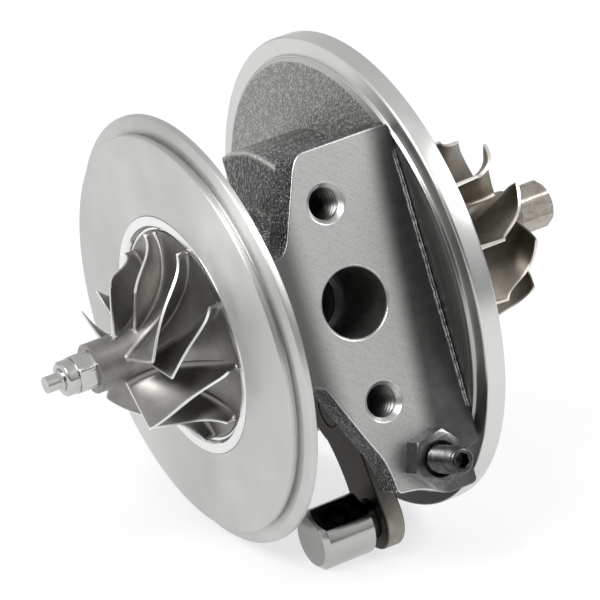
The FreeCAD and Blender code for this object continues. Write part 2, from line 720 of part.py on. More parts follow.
def stopScrew():
    """A fully threaded stop screw with a socket in its outer end."""
    bar = doc.addObject("Part::Cylinder", "screw_bar")
    bar.setExpression("Radius", "Sizes.screw_radius")
    bar.setExpression("Height", "Sizes.screw_length")
    bar.Placement = FreeCAD.Placement(vector(), FreeCAD.Rotation(vector(0, 0, 1), alongY))
    bar.setExpression("Placement.Base.x", "Sizes.screw_x")
    bar.setExpression("Placement.Base.y", "-Sizes.screw_tip_depth")
    bar.setExpression("Placement.Base.z", "Sizes.screw_z")
    doc.recompute()
    rounded = doc.addObject("Part::Chamfer", "screw_chamfered")
    rounded.Base = bar
    chamfer = size("screw_end_chamfer")
    rounded.Edges = [(1, chamfer, chamfer), (3, chamfer, chamfer)]
    socket = doc.addObject("Part::Prism", "screw_socket")
    socket.Polygon = 6
    socket.setExpression("Circumradius", "Sizes.screw_socket_radius")
    socket.setExpression("Height", "Sizes.screw_socket_depth")
    socket.Placement = FreeCAD.Placement(vector(), FreeCAD.Rotation(vector(0, 0, 1), alongY))
    socket.setExpression("Placement.Base.x", "Sizes.screw_x")
    socket.setExpression("Placement.Base.y", "-Sizes.screw_tip_depth")
    socket.setExpression("Placement.Base.z", "Sizes.screw_z")
    return cut("stop_screw", rounded, [socket])


def hexNut(label, width, height, base, direction, turn):
    """A hexagonal prism with its corners turned off at both ends."""
    prism = doc.addObject("Part::Prism", label + "_hex")
    prism.Polygon = 6
    prism.setExpression("Circumradius", f"Sizes.{width} / sqrt(3)")
    prism.setExpression("Height", height)
    spin = FreeCAD.Rotation(vector(0, 0, 1), turn)
    prism.Placement = FreeCAD.Placement(vector(), FreeCAD.Rotation(vector(0, 0, 1), direction) * spin)
    crown = doc.addObject("Part::Cone", label + "_crown")
    crown.setExpression("Radius1", f"Sizes.{width} / 2 + ({height}) * 1.73")
    crown.setExpression("Radius2", f"Sizes.{width} / 2")
    crown.setExpression("Height", height)
    crown.Placement = FreeCAD.Placement(vector(), FreeCAD.Rotation(vector(0, 0, 1), direction))
    for piece in (prism, crown):
        for letter, place in zip("xyz", base):
            if place != "0":
                piece.setExpression("Placement.Base." + letter, place)
    common = doc.addObject("Part::Common", label + "_body")
    common.Base = prism
    common.Tool = crown
    return common


def lockNut():
    """The lock nut on the stop screw, countersunk round the thread."""
    blank = hexNut("lock_nut", "lock_nut_width", "Sizes.lock_nut_height",
                   ("Sizes.screw_x", "-Sizes.drain_face_depth", "Sizes.screw_z"), outOfDrain, 10)
    thread = rod("lock_nut_thread", "screw_radius", "Sizes.lock_nut_height + 2",
                 ("Sizes.screw_x", "-Sizes.drain_face_depth - Sizes.lock_nut_height - 1", "Sizes.screw_z"), alongY)
    sink = taper("lock_nut_sink", "Sizes.screw_radius + Sizes.lock_nut_countersink", "Sizes.screw_radius",
                 "Sizes.lock_nut_countersink",
                 ("Sizes.screw_x", "-Sizes.drain_face_depth - Sizes.lock_nut_height", "Sizes.screw_z"), alongY)
    return cut("stop_screw_nut", blank, [thread, sink])


def vaneLever():
    """The outer arm: a hub on the lever shaft, a waisted arm and an eye for the pin."""
    hub = rod("lever_hub", "lever_hub_radius", "Sizes.lever_thickness",
              ("Sizes.lever_front_x", "Sizes.pivot_y", "Sizes.pivot_z"), alongX)
    eye = rod("lever_eye", "lever_eye_radius", "Sizes.lever_thickness",
              ("Sizes.lever_front_x", "Sizes.pin_y", "Sizes.pin_z"), alongX)
    blank = doc.addObject("Part::Feature", "lever_arm")
    hubCentre = vector(size("lever_front_x"), size("pivot_y"), size("pivot_z"))
    eyeCentre = vector(size("lever_front_x"), size("pin_y"), size("pin_z"))
    along = (eyeCentre - hubCentre).normalize()
    side = along.cross(alongX)
    hubRadius = size("lever_hub_radius")
    eyeRadius = size("lever_eye_radius")
    waist = (hubCentre + eyeCentre) * 0.5 + along * (hubRadius * 0.2)
    stopSide = [hubCentre + side * hubRadius, eyeCentre + side * eyeRadius]
    farSide = [eyeCentre - side * eyeRadius, waist - side * (eyeRadius * 0.72), hubCentre - side * hubRadius]
    edges = [Part.LineSegment(*stopSide).toShape(),
             Part.LineSegment(stopSide[1], farSide[0]).toShape(),
             Part.Arc(*farSide).toShape(),
             Part.LineSegment(farSide[2], stopSide[0]).toShape()]
    face = Part.Face(Part.Wire(edges))
    blank.Shape = face.extrude(alongX * size("lever_thickness"))
    solid = fuse("lever_blank", [hub, eye, blank])
    shaftHole = rod("lever_shaft_hole", "lever_shaft_radius", "Sizes.lever_thickness + 2",
                    ("Sizes.lever_front_x - 1", "Sizes.pivot_y", "Sizes.pivot_z"), alongX)
    pinHole = rod("lever_pin_hole", "pin_neck_radius", "Sizes.lever_thickness + 2",
                  ("Sizes.lever_front_x - 1", "Sizes.pin_y", "Sizes.pin_z"), alongX)
    return cut("vane_lever", solid, [shaftHole, pinHole])


def leverPin():
    """The actuator pin: a chamfered head with a milled flat and a cross hole, on a riveted neck."""
    head = rod("pin_head", "pin_radius", "Sizes.pin_head_length - Sizes.pin_chamfer",
               ("Sizes.pin_end_x + Sizes.pin_chamfer", "Sizes.pin_y", "Sizes.pin_z"), alongX)
    tip = taper("pin_tip", "Sizes.pin_radius - Sizes.pin_chamfer", "Sizes.pin_radius", "Sizes.pin_chamfer",
                ("Sizes.pin_end_x", "Sizes.pin_y", "Sizes.pin_z"), alongX)
    neck = rod("pin_neck", "pin_neck_radius", "Sizes.lever_back_x - Sizes.pin_shoulder_x",
               ("Sizes.pin_shoulder_x", "Sizes.pin_y", "Sizes.pin_z"), alongX)
    solid = fuse("pin_blank", [head, tip, neck])
    tilt = math.radians(size("pin_flat_angle"))
    up = vector(0, -math.cos(tilt), math.sin(tilt))
    centre = vector(size("pin_end_x"), size("pin_y"), size("pin_z"))
    flat = doc.addObject("Part::Feature", "pin_flat")
    width = 2 * size("pin_radius")
    block = Part.makeBox(size("pin_head_length"), width, width, vector(0, -width / 2, 0))
    flat.Shape = block
    turn = FreeCAD.Rotation(alongX, up.cross(alongX), up, "XYZ")
    flat.Placement = FreeCAD.Placement(centre + up * size("pin_flat_height"), turn)
    hole = doc.addObject("Part::Feature", "pin_cross_hole")
    hole.Shape = Part.makeCylinder(size("pin_hole_radius"), 2 * width, centre + alongX * size("pin_hole_place")
                                   - up * width, up)
    return cut("lever_pin", solid, [flat, hole])


def leverShaft():
    """The shaft that carries the lever's turn through the flange to the vane crank."""
    return rod("lever_shaft", "lever_shaft_radius", "Sizes.crank_end_x - Sizes.lever_front_x",
               ("Sizes.lever_front_x", "Sizes.pivot_y", "Sizes.pivot_z"), alongX)


def leverBush():
    wall = rod("lever_bush_wall", "lever_bush_radius", "Sizes.bush_end_x - Sizes.bush_front_x",
               ("Sizes.bush_front_x", "Sizes.pivot_y", "Sizes.pivot_z"), alongX)
    bore = rod("lever_bush_hole", "lever_bush_bore", "Sizes.bush_end_x - Sizes.bush_front_x + 2",
               ("Sizes.bush_front_x - 1", "Sizes.pivot_y", "Sizes.pivot_z"), alongX)
    return cut("lever_bush", wall, [bore])


def vaneCrank():
    """The inner crank on the turbine side, which moves the vane ring of the turbine housing."""
    angle = math.radians(size("crank_angle"))
    hubCentre = vector(size("crank_front_x"), size("pivot_y"), size("pivot_z"))
    tipCentre = hubCentre + vector(0, math.sin(angle), math.cos(angle)) * size("crank_length")
    thickness = alongX * size("crank_thickness")
    along = (tipCentre - hubCentre).normalize()
    side = along.cross(alongX)
    hubRadius = size("crank_hub_radius")
    tipRadius = size("crank_tip_radius")
    outline = [hubCentre + side * hubRadius, tipCentre + side * tipRadius,
               tipCentre - side * tipRadius, hubCentre - side * hubRadius]
    arm = Part.Face(Part.makePolygon(outline + outline[:1])).extrude(thickness)
    hub = Part.makeCylinder(hubRadius, size("crank_thickness"), hubCentre, alongX)
    tip = Part.makeCylinder(tipRadius, size("crank_thickness"), tipCentre, alongX)
    bore = Part.makeCylinder(size("lever_shaft_radius"), 2 * size("crank_thickness"), hubCentre - alongX, alongX)
    crank = doc.addObject("Part::Feature", "vane_crank")
    crank.Shape = arm.multiFuse([hub, tip]).cut(bore).removeSplitter()
    return crank


def quarterCurve(start, end, count, startAlongAxis):
    """Points of a quarter ellipse between two (x, radius) corners of a wheel's flow path.

    It leaves the first corner along the axis, or towards the axis where startAlongAxis is false."""
    points = []
    for index in range(count + 1):
        angle = math.pi / 2 * index / count
        rise = math.sin(angle)
        lag = 1 - math.cos(angle)
        alongShare, acrossShare = (rise, lag) if startAlongAxis else (lag, rise)
        points.append((start[0] + (end[0] - start[0]) * alongShare, start[1] + (end[1] - start[1]) * acrossShare))
    return points


def blade(hubPath, shroudPath, hubTurn, shroudTurn, rootHalf, tipHalf):
    """One thin blade, lofted through flat four-sided sections that run from the hub to the shroud line."""
    def place(spot, degrees):
        angle = math.radians(degrees)
        return vector(spot[0], -spot[1] * math.cos(angle), spot[1] * math.sin(angle))

    roots = [place(spot, turn) for spot, turn in zip(hubPath, hubTurn)]
    tips = [place(spot, turn) for spot, turn in zip(shroudPath, shroudTurn)]
    sections = []
    last = len(roots) - 1
    for index, (root, tip) in enumerate(zip(roots, tips)):
        before = max(index - 1, 0)
        after = min(index + 1, last)
        flow = (roots[after] + tips[after]) - (roots[before] + tips[before])
        across = flow.cross(tip - root).normalize()
        corners = [root + across * rootHalf, tip + across * tipHalf, tip - across * tipHalf, root - across * rootHalf]
        sections.append(Part.makePolygon(corners + corners[:1]))
    return Part.makeLoft(sections, True, False)


def revolveProfile(points):
    """The solid turned about the X axis from (x, radius) points."""
    corners = [vector(spot[0], 0, spot[1]) for spot in points]
    face = Part.Face(Part.makePolygon(corners + corners[:1]))
    return face.revolve(vector(), alongX, 360)


def compressorWheel():
    """A hub with full blades and splitter blades between them, all swept back at the rim."""
    rim = size("wheel_rim_radius")
    eye = (size("wheel_eye_x"), size("wheel_nose_radius"))
    hubRim = (size("wheel_rim_hub_x"), rim)
    steps = 12
    hubLine = quarterCurve(eye, hubRim, steps, True)
    bore = size("flinger_bore_radius")
    back = size("wheel_back_x")
    rimBack = size("wheel_rim_hub_x") + size("wheel_rim_thickness")
    hub = revolveProfile([(size("wheel_nose_x"), bore), (size("wheel_nose_x"), size("wheel_nose_radius"))]
                         + hubLine + [(rimBack, rim), (back, rim / 2), (back, bore)])
    rootSink = 0.4
    shroudLine = quarterCurve((size("inducer_x"), size("inducer_radius")), (size("wheel_rim_shroud_x"), rim),
                              steps, True)
    rootLine = [(x + rootSink * (index / steps), radius - rootSink * (1 - index / steps))
                for index, (x, radius) in enumerate(hubLine)]
    wrap = size("impeller_wrap")

    def lag(share):
        return wrap * (1 - (0.45 * share + 0.55 * (1 - (1 - share) ** 4)))

    pairs = round(size("impeller_blade_pairs"))
    blades = []
    for kind in range(2):
        first = size("splitter_start") if kind else 0.0
        shares = [first + (1 - first) * index / steps for index in range(steps + 1)]

        def along(line):
            spots = []
            for share in shares:
                low = min(int(share * steps), steps - 1)
                part = share * steps - low
                spots.append(tuple(a + (b - a) * part for a, b in zip(line[low], line[low + 1])))
            return spots

        for index in range(pairs):
            end = size("impeller_clocking") + 360 / pairs * (index - kind / 2)
            turns = [end - lag(share) for share in shares]
            blades.append(blade(along(rootLine), along(shroudLine), turns, turns, 0.55, 0.32))
    wheel = doc.addObject("Part::Feature", "compressor_wheel")
    wheel.Shape = hub.multiFuse(blades)
    return wheel


def turbineWheel():
    """A cast wheel: seal boss, back disc, hub and radial-inflow blades that turn to the axis at the outlet."""
    steps = 10
    rimX = size("turbine_back_disc_x") + size("turbine_disc_rim")
    hubEnd = (size("turbine_hub_end_x"), size("turbine_hub_end_radius"))
    discRadius = size("turbine_disc_radius")
    hubLine = quarterCurve((rimX, discRadius), hubEnd, steps, False)
    boss = size("seal_boss_radius")
    slotFloor = size("rear_slot_radius")
    hub = revolveProfile([(size("weld_x"), 0), (size("weld_x"), boss), (size("rear_slot_x"), boss),
                          (size("rear_slot_x"), slotFloor), (size("rear_slot_end_x"), slotFloor),
                          (size("rear_slot_end_x"), boss), (size("nose_end_x"), boss),
                          (size("turbine_back_disc_x"), boss + size("boss_fillet")),
                          (size("turbine_back_disc_x"), discRadius)]
                         + hubLine + [(hubEnd[0] + 1, 0)])
    inlet = (size("turbine_inlet_end_x"), size("turbine_inlet_radius"))
    outlet = (size("turbine_outlet_x"), size("turbine_outlet_radius"))
    shroudLine = quarterCurve(inlet, outlet, steps, False)
    inletLine = [(size("turbine_inlet_front_x") + (inlet[0] - size("turbine_inlet_front_x")) * index / 3, inlet[1])
                 for index in range(3)]
    rootSink = 0.5
    rootLine = [(x - rootSink * (1 - index / steps), radius - rootSink * (index / steps))
                for index, (x, radius) in enumerate(hubLine)]
    rootEnd = size("turbine_outlet_x") + 2
    shares = [index / steps for index in range(steps + 1)]
    roots = []
    for share in shares:
        spot = share ** 1.3 * steps * 0.94
        low = min(int(spot), steps - 1)
        part = spot - low
        roots.append(tuple(a + (b - a) * part for a, b in zip(rootLine[low], rootLine[low + 1])))
    outletTurn = size("turbine_clocking")
    inletX, outletX = shroudLine[0][0], shroudLine[-1][0]
    gains = [(x - inletX) / (outletX - inletX) for x, radius in shroudLine]
    shroudTurn = [outletTurn - size("turbine_wrap") * (1 - 0.42 * gain - 0.58 * gain ** 5) for gain in gains]
    rootTurn = [outletTurn - size("turbine_wrap") + size("turbine_root_wrap") * share ** 2.2 for share in shares]
    count = round(size("turbine_blade_count"))
    blades = []
    for index in range(count):
        shift = 360 / count * index
        blades.append(blade(roots, shroudLine, [turn + shift for turn in rootTurn],
                            [turn + shift for turn in shroudTurn], 0.8, 0.42))
    tip = size("turbine_tip_x")
    bossRadius = size("turbine_boss_width") / math.sqrt(3)
    ringPoints = [vector(hubEnd[0] - 1, bossRadius * math.cos(math.pi / 3 * k), bossRadius * math.sin(math.pi / 3 * k))
                  for k in range(7)]
    nut = Part.Face(Part.makePolygon(ringPoints)).extrude(alongX * (tip - hubEnd[0] + 1))
    nose = nut.common(revolveProfile([(hubEnd[0] - 1, 0), (hubEnd[0] - 1, bossRadius), (tip - 1.2, bossRadius),
                                      (tip, bossRadius - 1.2), (tip, 0)]))
    wheel = doc.addObject("Part::Feature", "turbine_wheel")
    wheel.Shape = hub.multiFuse(blades + [nose])
    return wheel


def rotorShaft():
    return turned("rotor_shaft", [
        ("shaft_tip_x", "0"),
        ("shaft_tip_x", "shaft_tip_radius"),
        ("shaft_tip_end_x", "shaft_tip_radius"),
        ("thread_start_x", "thread_radius"),
        ("collar_end_x", "thread_radius"),
        ("collar_end_x", "journal_radius"),
        ("front_journal_end_x", "journal_radius"),
        ("front_journal_end_x", "shaft_relief_radius"),
        ("rear_journal_start_x", "shaft_relief_radius"),
        ("rear_journal_start_x", "journal_radius"),
        ("rear_journal_end_x", "journal_radius"),
        ("rear_journal_end_x", "weld_radius"),
        ("weld_x", "weld_radius"),
        ("weld_x", "0"),
    ])


def thrustCollar():
    return turned("thrust_collar", [
        ("collar_front_x", "flinger_bore_radius"),
        ("collar_front_x", "collar_spool_radius"),
        ("collar_flange_x", "collar_spool_radius"),
        ("collar_flange_x", "collar_radius"),
        ("collar_end_x", "collar_radius"),
        ("collar_end_x", "flinger_bore_radius"),
    ])


def oilFlinger():
    """The sleeve behind the compressor wheel: a piston ring slot and a disc that throws the oil outwards."""
    return turned("oil_flinger", [
        ("wheel_back_x", "flinger_bore_radius"),
        ("wheel_back_x", "flinger_sleeve_radius"),
        ("front_slot_x", "flinger_sleeve_radius"),
        ("front_slot_x", "front_slot_radius"),
        ("front_slot_end_x", "front_slot_radius"),
        ("front_slot_end_x", "flinger_sleeve_radius"),
        ("flinger_front_x", "flinger_sleeve_radius"),
        ("flinger_front_x", "flinger_radius"),
        ("collar_front_x", "flinger_radius"),
        ("collar_front_x", "flinger_bore_radius"),
    ])


def compressorNut():
    """The shaft nut: a hexagon against the wheel and a round collar in front of it."""
    backwards = vector(-1, 0, 0)
    hexagon = hexNut("shaft_nut", "nut_width", "Sizes.nut_hex_length",
                     ("Sizes.wheel_nose_x", "0", "0"), backwards, 20)
    collar = rod("shaft_nut_collar", "nut_collar_radius", "Sizes.nut_length",
                 ("Sizes.wheel_nose_x", "0", "0"), backwards)
    thread = rod("shaft_nut_thread", "thread_radius", "Sizes.nut_length + 2",
                 ("Sizes.wheel_nose_x + 1", "0", "0"), backwards)
    return cut("compressor_nut", fuse("shaft_nut_blank", [hexagon, collar]), [thread])


def heatShield():
    """A thin pressed cup between the turbine wheel and the housing."""
    return turned("heat_shield", [
        ("shield_seat_x", "shield_cone_inner"),
        ("shield_seat_x", "shield_lip_radius"),
        ("shield_back_x", "shield_lip_radius"),
        ("shield_back_x", "shield_cone_radius"),
        ("shield_face_x", "shield_face_radius"),
        ("shield_face_x", "shield_hole_radius"),
        ("shield_inner_face_x", "shield_hole_radius"),
        ("shield_inner_face_x", "shield_face_inner"),
    ])


def locatingDowel():
    return rod("locating_dowel", "dowel_radius",
               "Sizes.turbine_back_x - Sizes.turbine_rim_front_x - 1 + Sizes.dowel_height",
               ("Sizes.turbine_rim_front_x + 1", "Sizes.dowel_circle * cos(Sizes.dowel_angle)",
                "Sizes.dowel_circle * sin(Sizes.dowel_angle)"), alongX)


pieces = [
    *housingCasting(),
    compressorDisc(),
    compressorInsert(),
    oRing(),
    ringPiece("oil_deflector", "insert_back_x", "thrust_x", "deflector_bore", "spigot_radius"),
    ringPiece("thrust_bearing", "thrust_x", "thrust_floor_x", "thrust_bore", "spigot_radius"),
    bearingClips(),
    journalBearing("front_journal_bearing", "front_journal_x"),
    journalBearing("rear_journal_bearing", "rear_journal_x"),
    ringPiece("compressor_piston_ring", "front_ring_x", "front_ring_end_x", "front_ring_inner",
              "insert_bore_radius"),
    ringPiece("turbine_piston_ring", "rear_ring_x", "rear_ring_end_x", "rear_ring_inner",
              "nose_bore_radius"),
    heatShield(),
    locatingDowel(),
    stopScrew(),
    lockNut(),
    leverBush(),
    vaneLever(),
    leverPin(),
    leverShaft(),
    vaneCrank(),
    rotorShaft(),
    thrustCollar(),
    oilFlinger(),
    compressorWheel(),
    compressorNut(),
    turbineWheel(),
]
doc.recompute()

faults = [item.Label for item in doc.Objects if "Invalid" in item.State or "Error" in item.State]
for piece in pieces:
    if piece.Shape.isNull() or not piece.Shape.isValid() or piece.Shape.Volume <= 0:
        faults.append(piece.Label)
if faults:
    raise RuntimeError("These did not build: " + ", ".join(faults))

os.makedirs("parts", exist_ok=True)
for piece in pieces:
    piece.Shape.exportStep("parts/" + piece.Label + ".step")
    print(piece.Label, round(piece.Shape.Volume, 1), len(piece.Shape.Solids))
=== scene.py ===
import math

import bmesh
import bpy
import numpy as np
from mathutils import Matrix


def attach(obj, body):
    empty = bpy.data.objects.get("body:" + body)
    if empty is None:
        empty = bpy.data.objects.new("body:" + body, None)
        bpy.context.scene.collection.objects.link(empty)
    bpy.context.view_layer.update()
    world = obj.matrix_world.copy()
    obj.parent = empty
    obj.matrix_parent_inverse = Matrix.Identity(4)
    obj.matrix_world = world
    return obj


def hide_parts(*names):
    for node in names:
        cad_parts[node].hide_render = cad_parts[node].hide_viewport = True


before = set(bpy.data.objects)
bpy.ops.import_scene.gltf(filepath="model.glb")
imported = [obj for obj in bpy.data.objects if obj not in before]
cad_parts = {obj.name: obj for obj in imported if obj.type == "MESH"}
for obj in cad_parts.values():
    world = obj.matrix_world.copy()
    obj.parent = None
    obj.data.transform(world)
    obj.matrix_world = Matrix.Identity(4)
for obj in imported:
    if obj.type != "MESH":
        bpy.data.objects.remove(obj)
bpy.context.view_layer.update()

print("frame loaded")

# Sizes are in millimetres in the shared frame: X along the rotor, -Y out of the drain face, Z up.
millimetre = 0.001
# points closer than this, in metres, are one point
weld = 2e-6


# Mesh helpers

def gridFaces(rows, columns, closed, first):
    # quads between neighbouring grid points, wrapped round where a direction is closed
    i = np.arange(rows if closed[0] else rows - 1)
    j = np.arange(columns if closed[1] else columns - 1)
    i, j = np.meshgrid(i, j, indexing="ij")
    a, b = i * columns, (i + 1) % rows * columns
    c, d = j, (j + 1) % columns
    return np.stack([a + c, b + c, b + d, a + d], axis=-1).reshape(-1, 4) + first


def meshPiece(name, body, grids, material, smooth=40, closed=(True, False), merge=True, cut=None):
    # one object from a list of point grids in millimetres; closed says which grid directions wrap round,
    # cut gives each grid point its share of milled edge
    vertices = np.concatenate([grid.reshape(-1, 3) for grid in grids]) * millimetre
    faces, first = [], 0
    for grid in grids:
        rows, columns = grid.shape[:2]
        faces.append(gridFaces(rows, columns, closed, first))
        first += rows * columns
    mesh = bpy.data.meshes.new(name)
    mesh.from_pydata(vertices.tolist(), [], np.concatenate(faces).tolist())
    if cut is not None:
        share = mesh.attributes.new("milled", "FLOAT", "POINT")
        share.data.foreach_set("value", np.tile(cut.ravel(), len(grids)))
    return dressMesh(name, body, mesh, material, smooth, merge)


def reworked(mesh, change):
    # opens a mesh for one change and writes it back
    work = bmesh.new()
    work.from_mesh(mesh)
    change(work)
    work.to_mesh(mesh)
    work.free()
    return mesh


def weldPoints(work):
    bmesh.ops.remove_doubles(work, verts=work.verts, dist=weld)


def closeSeams(work):
    # closes seams and poles and turns the faces outwards
    weldPoints(work)
    bmesh.ops.dissolve_degenerate(work, edges=work.edges, dist=1e-7)
    bmesh.ops.recalc_face_normals(work, faces=work.faces)


def joinFlats(work):
    # faces that lie in one plane, within half a degree, become one
    bmesh.ops.dissolve_limit(work, angle_limit=math.radians(0.5), verts=work.verts, edges=work.edges)


def dressMesh(name, body, mesh, material, smooth=40, merge=True):
    # an object from a mesh, smooth below the given angle, that rides on the body
    if merge:
        reworked(mesh, closeSeams)
    mesh.polygons.foreach_set("use_smooth", np.ones(len(mesh.polygons), dtype=bool))
    mesh.set_sharp_from_angle(angle=math.radians(smooth))
    mesh.materials.clear()
    mesh.materials.append(material)
    mesh.update()
    piece = bpy.data.objects.new(name, mesh)
    bpy.context.scene.collection.objects.link(piece)
    if body:
        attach(piece, body)
    return piece


def appliedMesh(helper):
    # the mesh of a helper object with its curve settings or modifiers applied; the helper goes
    bpy.context.scene.collection.objects.link(helper)
    mesh = bpy.data.meshes.new_from_object(helper.evaluated_get(bpy.context.evaluated_depsgraph_get()))
    bpy.data.objects.remove(helper)
    return mesh


def fullTurn(count):
    # equal steps of a full turn, as a column
    return np.linspace(0, 2 * np.pi, count, endpoint=False)[:, None]


def softened(corners, radius, steps=4):
    # each corner of a closed outline becomes a short quadratic curve that takes at most 45% of the sides
    # beside it: (1 - t)^2 start + 2 t (1 - t) corner + t^2 end
    p = np.asarray(corners, float)
    before, after = np.roll(p, 1, axis=0) - p, np.roll(p, -1, axis=0) - p
    longBefore = np.linalg.norm(before, axis=1, keepdims=True)
    longAfter = np.linalg.norm(after, axis=1, keepdims=True)
    reach = np.minimum(radius, 0.45 * np.minimum(longBefore, longAfter))
    start, end = p + before / longBefore * reach, p + after / longAfter * reach
    t = np.linspace(0, 1, steps)[None, :, None]
    curve = (1 - t) ** 2 * start[:, None] + 2 * t * (1 - t) * p[:, None] + t ** 2 * end[:, None]
    return curve.reshape(-1, 2)


def spun(profile, segments=192, centre=(0, 0), axis="x"):
    # an (along, radius) profile carried round an axis: (along, radius cos a, radius sin a)
    angle = fullTurn(segments)
    along = np.broadcast_to(profile[:, 0], (segments, len(profile)))
    u, v = profile[:, 1] * np.cos(angle) + centre[0], profile[:, 1] * np.sin(angle) + centre[1]
    return np.stack([along, u, v] if axis == "x" else [u, along, v], axis=-1)


def turnedPiece(name, body, corners, material, edge=0.15, segments=192, centre=(0, 0), axis="x"):
    # a closed profile turned about an axis, its corners eased as a lathe tool and a file leave them
    grid = spun(softened(corners, edge), segments, centre, axis)
    return meshPiece(name, body, [grid], material, 35, (True, True))


def platePiece(name, body, outlines, thickness, edge, place, material):
    # a flat plate with holes: the outer outline first, then the holes, with a rounded rim of the given width
    curve = bpy.data.curves.new(name, "CURVE")
    curve.dimensions = "2D"
    curve.fill_mode = "BOTH"
    curve.extrude = thickness / 2 - edge
    curve.bevel_depth = edge
    curve.bevel_resolution = 2
    curve.offset = -edge
    for outline in outlines:
        spline = curve.splines.new("POLY")
        spline.points.add(len(outline) - 1)
        rows = np.column_stack([outline, np.zeros(len(outline)), np.ones(len(outline))])
        spline.points.foreach_set("co", rows.ravel())
        spline.use_cyclic_u = True
    mesh = appliedMesh(bpy.data.objects.new(name + "Outline", curve))
    flat = np.empty(len(mesh.vertices) * 3)
    mesh.vertices.foreach_get("co", flat)
    mesh.vertices.foreach_set("co", (place(flat.reshape(-1, 3)) * millimetre).ravel())
    return dressMesh(name, body, mesh, material)


def shadedFlat(piece, axis):
    # faces square to an axis keep one normal, so the eased rim beside them doesn't bend their sheen
    normals = np.empty(len(piece.data.polygons) * 3)
    piece.data.polygons.foreach_get("normal", normals)
    piece.data.polygons.foreach_set("use_smooth", np.abs(normals.reshape(-1, 3)[:, axis]) < 0.9999)
    piece.data.update()


def circle(centre, radius, count=64):
    angle = fullTurn(count)[:, 0]
    return np.column_stack([centre[0] + radius * np.cos(angle), centre[1] + radius * np.sin(angle)])


def ringAlongY(centre, place, radius, angle):
    # points round an axis along Y: (centre x + radius cos a, place, centre z + radius sin a)
    radius = radius + 0 * angle
    return np.stack([centre[0] + radius * np.cos(angle), place + 0 * angle,
                     centre[1] + radius * np.sin(angle)], axis=-1)


def hexFold(angle):
    # the angle measured from the middle of the nearest side of a hexagon, whose reach is apothem / cos(fold)
    return (angle + np.pi / 6) % (np.pi / 3) - np.pi / 6


def meshOfNode(node):
    # a copy of a CAD node's mesh with its points welded
    return reworked(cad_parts[node].data.copy(), weldPoints)


def eased(name, node, body, width, material, steps=3):
    # a CAD node with its sharp edges rounded, which takes the node's place
    blank = bpy.data.objects.new(name + "Blank", reworked(meshOfNode(node), joinFlats))
    bevel = blank.modifiers.new("bevel", "BEVEL")
    bevel.width = width * millimetre
    bevel.segments = steps
    bevel.limit_method = "ANGLE"
    bevel.angle_limit = math.radians(35)
    piece = dressMesh(name, body, appliedMesh(blank), material)
    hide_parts(node)
    return piece


# Material helpers

def linear(hexColour):
    # sRGB hex to linear RGBA
    values = np.array([int(hexColour[k:k + 2], 16) / 255 for k in (0, 2, 4)])
    values = np.where(values <= 0.04045, values / 12.92, ((values + 0.055) / 1.055) ** 2.4)
    return (*values.tolist(), 1.0)


def inMetres(values):
    return [value * millimetre for value in values]


def perMillimetre(size):
    # the noise scale that makes marks of this size in millimetres, from Object coordinates in metres
    return 1 / (size * millimetre)


def feed(tree, node, inputs):
    # a socket is linked, a hex colour is converted, anything else is set as it is
    for key, value in inputs.items():
        if isinstance(value, bpy.types.NodeSocket):
            tree.links.new(value, node.inputs[key])
        else:
            node.inputs[key].default_value = linear(value) if isinstance(value, str) else value


def addNode(tree, kind, settings=None, inputs=None):
    node = tree.nodes.new(kind)
    for key, value in (settings or {}).items():
        setattr(node, key, value)
    feed(tree, node, inputs or {})
    return node


def maths(tree, operation, *values):
    return addNode(tree, "ShaderNodeMath", {"operation": operation}, dict(enumerate(values))).outputs[0]


def vectorMaths(tree, operation, *values):
    node = addNode(tree, "ShaderNodeVectorMath", {"operation": operation}, dict(enumerate(values)))
    return node.outputs["Value" if operation in ("DOT_PRODUCT", "LENGTH") else "Vector"]


def component(tree, vector, axis):
    return addNode(tree, "ShaderNodeSeparateXYZ", inputs={0: vector}).outputs[axis]


def mixed(tree, kind, factor, a, b):
    # a value or colour between two, each a socket or a constant
    node = addNode(tree, "ShaderNodeMix", {"data_type": kind}, {"Factor": factor, "A": a, "B": b})
    return node.outputs["Result"]


def mapped(tree, source, low, high, start=0.0, end=1.0):
    # a smooth step between two places given in millimetres
    return addNode(tree, "ShaderNodeMapRange", {"interpolation_type": "SMOOTHSTEP"}, {
        "Value": source, "From Min": low * millimetre, "From Max": high * millimetre,
        "To Min": start, "To Max": end}).outputs[0]


def ramp(tree, source, stops):
    # a colour ramp between grey or coloured stops, given as (place, value or hex)
    node = addNode(tree, "ShaderNodeValToRGB", inputs={"Fac": source})
    band = node.color_ramp
    while len(band.elements) < len(stops):
        band.elements.new(0.5)
    for element, (place, value) in zip(band.elements, stops):
        element.position = place
        element.color = linear(value) if isinstance(value, str) else (value, value, value, 1)
    return node.outputs["Color"]


def opened(material):
    return material.node_tree, material.node_tree.nodes["Principled BSDF"]


def startMaterial(name, colour, metallic, roughness):
    material = bpy.data.materials.new(name)
    material.use_nodes = True
    tree, shader = opened(material)
    feed(tree, shader, {"Base Color": colour, "Metallic": metallic, "Roughness": roughness})
    coords = addNode(tree, "ShaderNodeTexCoord").outputs["Object"]
    return material, tree, shader, coords


def noiseAt(tree, coords, size, detail=4.0, rough=0.6):
    return addNode(tree, "ShaderNodeTexNoise", inputs={
        "Vector": coords, "Scale": perMillimetre(size), "Detail": detail, "Roughness": rough}).outputs["Fac"]


def roundGrains(tree, coords, size, smoothness):
    # the distance to the middle of the nearest grain
    return addNode(tree, "ShaderNodeTexVoronoi", {"feature": "SMOOTH_F1"}, {
        "Vector": coords, "Scale": perMillimetre(size), "Smoothness": smoothness}).outputs["Distance"]


def bumpFrom(tree, height, strength, depth, invert=False):
    return addNode(tree, "ShaderNodeBump", {"invert": invert}, {
        "Height": height, "Strength": strength, "Distance": depth * millimetre}).outputs["Normal"]


